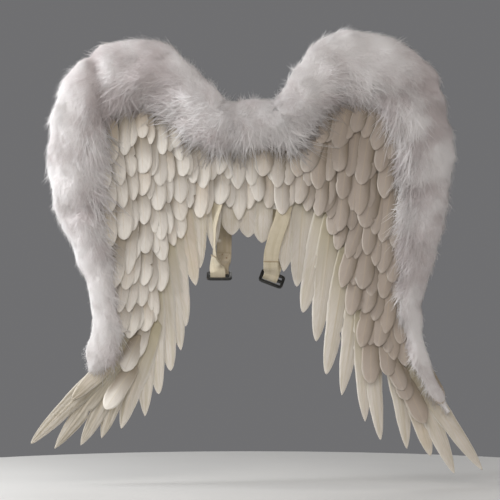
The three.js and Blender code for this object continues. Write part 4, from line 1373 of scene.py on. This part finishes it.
stitches = []
for row in COVERT_ROWS:
    turn = np.radians(np.linspace(row.lean, row.to_lean, BOW_STEPS + 1))
    upward = np.stack([-np.sin(turn), np.cos(turn)], axis=1)
    roots = row_tips(row, BOW_STEPS) + row.long * TAPE_ABOVE * upward
    tape = even_line(roots, max(round(run_of(roots)[-1] / TAPE_PITCH), 2))
    for (px, pz), (dx, dz) in zip(tape, headings(tape)):
        edge = np.array(LOWER_LEFT if px < 0 else LOWER_RIGHT, float)
        inside = abs(np.interp(-pz, -edge[:, 1], edge[:, 0])) + TAPE_INSIDE
        if pz > YOKE_BOTTOM + TAPE_INSIDE or abs(px) > inside:
            spot = np.array([px, sweep(px, pz) + wavy(px, pz), pz])
            stitches.append((spot, (dx, 0.0, dz), (0.0, 1.0, 0.0)))
tape_seam_tree = stitch_tree("tape seams", thread, TAPE_SIZES)
stitch_piece("tape_stitching", tape_seam_tree, TAPE_SIZES, stitches)

# Stage: a plain pale floor below the wing tips, a soft key light from the left, a weak fill from
# the right and an even grey surround. The camera looks straight at the front, as the photo does.
# These sizes are in metres.
FLOOR_BELOW = 0.02
FLOOR_Z = cad_box[0].z - FLOOR_BELOW
FLOOR_RADIUS = 0.8
FLOOR_SIDES = 96
FLOOR_GREY = (0.60, 0.59, 0.57, 1)
FLOOR_PALE = (0.64, 0.63, 0.61, 1)
bpy.ops.mesh.primitive_circle_add(
    vertices=FLOOR_SIDES, radius=FLOOR_RADIUS, fill_type="NGON", location=(0, 0, FLOOR_Z),
)
floor = bpy.context.object
floor.name = "floor"
pale, shader, n, place = new_finish("pale_floor")
feed(shader, Base_Color=place.noise(6, Detail=2).blend(FLOOR_GREY, FLOOR_PALE), Roughness=0.9)
floor.data.materials.append(pale)

LIGHTS = [  # name, place, size, power and colour
    ("key", (-1.55, -0.25, 0.4), 0.8, 35, (0.955, 0.975, 1.0)),
    ("front", (-0.35, -2.4, 0.9), 1.7, 29.5, (1.0, 0.965, 0.935)),
    ("fill", (1.9, -1.6, 0.3), 1.4, 8, (1.0, 0.95, 0.92)),
    ("rear", (0.6, 2.6, 1.4), 1.8, 18, (1.0, 0.99, 0.97)),
]
LIGHT_AIM = Vector((0, 0, -0.15))
SURROUND_GREY = (0.16, 0.16, 0.165, 1)
for name, place, size, power, colour in LIGHTS:
    lamp = bpy.data.lights.new(name, "AREA")
    lamp.size = size
    lamp.energy = power
    lamp.color = colour
    light = bpy.data.objects.new(name, lamp)
    light.location = place
    light.rotation_euler = (LIGHT_AIM - Vector(place)).to_track_quat("-Z", "Y").to_euler()
    bpy.context.scene.collection.objects.link(light)
world = bpy.data.worlds.new("surround")
world.use_nodes = True
world.node_tree.nodes["Background"].inputs["Color"].default_value = SURROUND_GREY
bpy.context.scene.world = world
bpy.context.scene.view_settings.view_transform = "Standard"

PHOTO_WIDE = 0.8333
PHOTO_MIDDLE = -0.1667
CAMERA_AWAY = 4.5
SENSOR = 36
lens = bpy.data.cameras.new("camera")
lens.sensor_width = SENSOR
lens.lens = SENSOR * CAMERA_AWAY / PHOTO_WIDE
camera = bpy.data.objects.new("camera", lens)
camera.location = (0, -CAMERA_AWAY, PHOTO_MIDDLE)
camera.rotation_euler = (math.pi / 2, 0, 0)
bpy.context.scene.collection.objects.link(camera)
bpy.context.scene.camera = camera
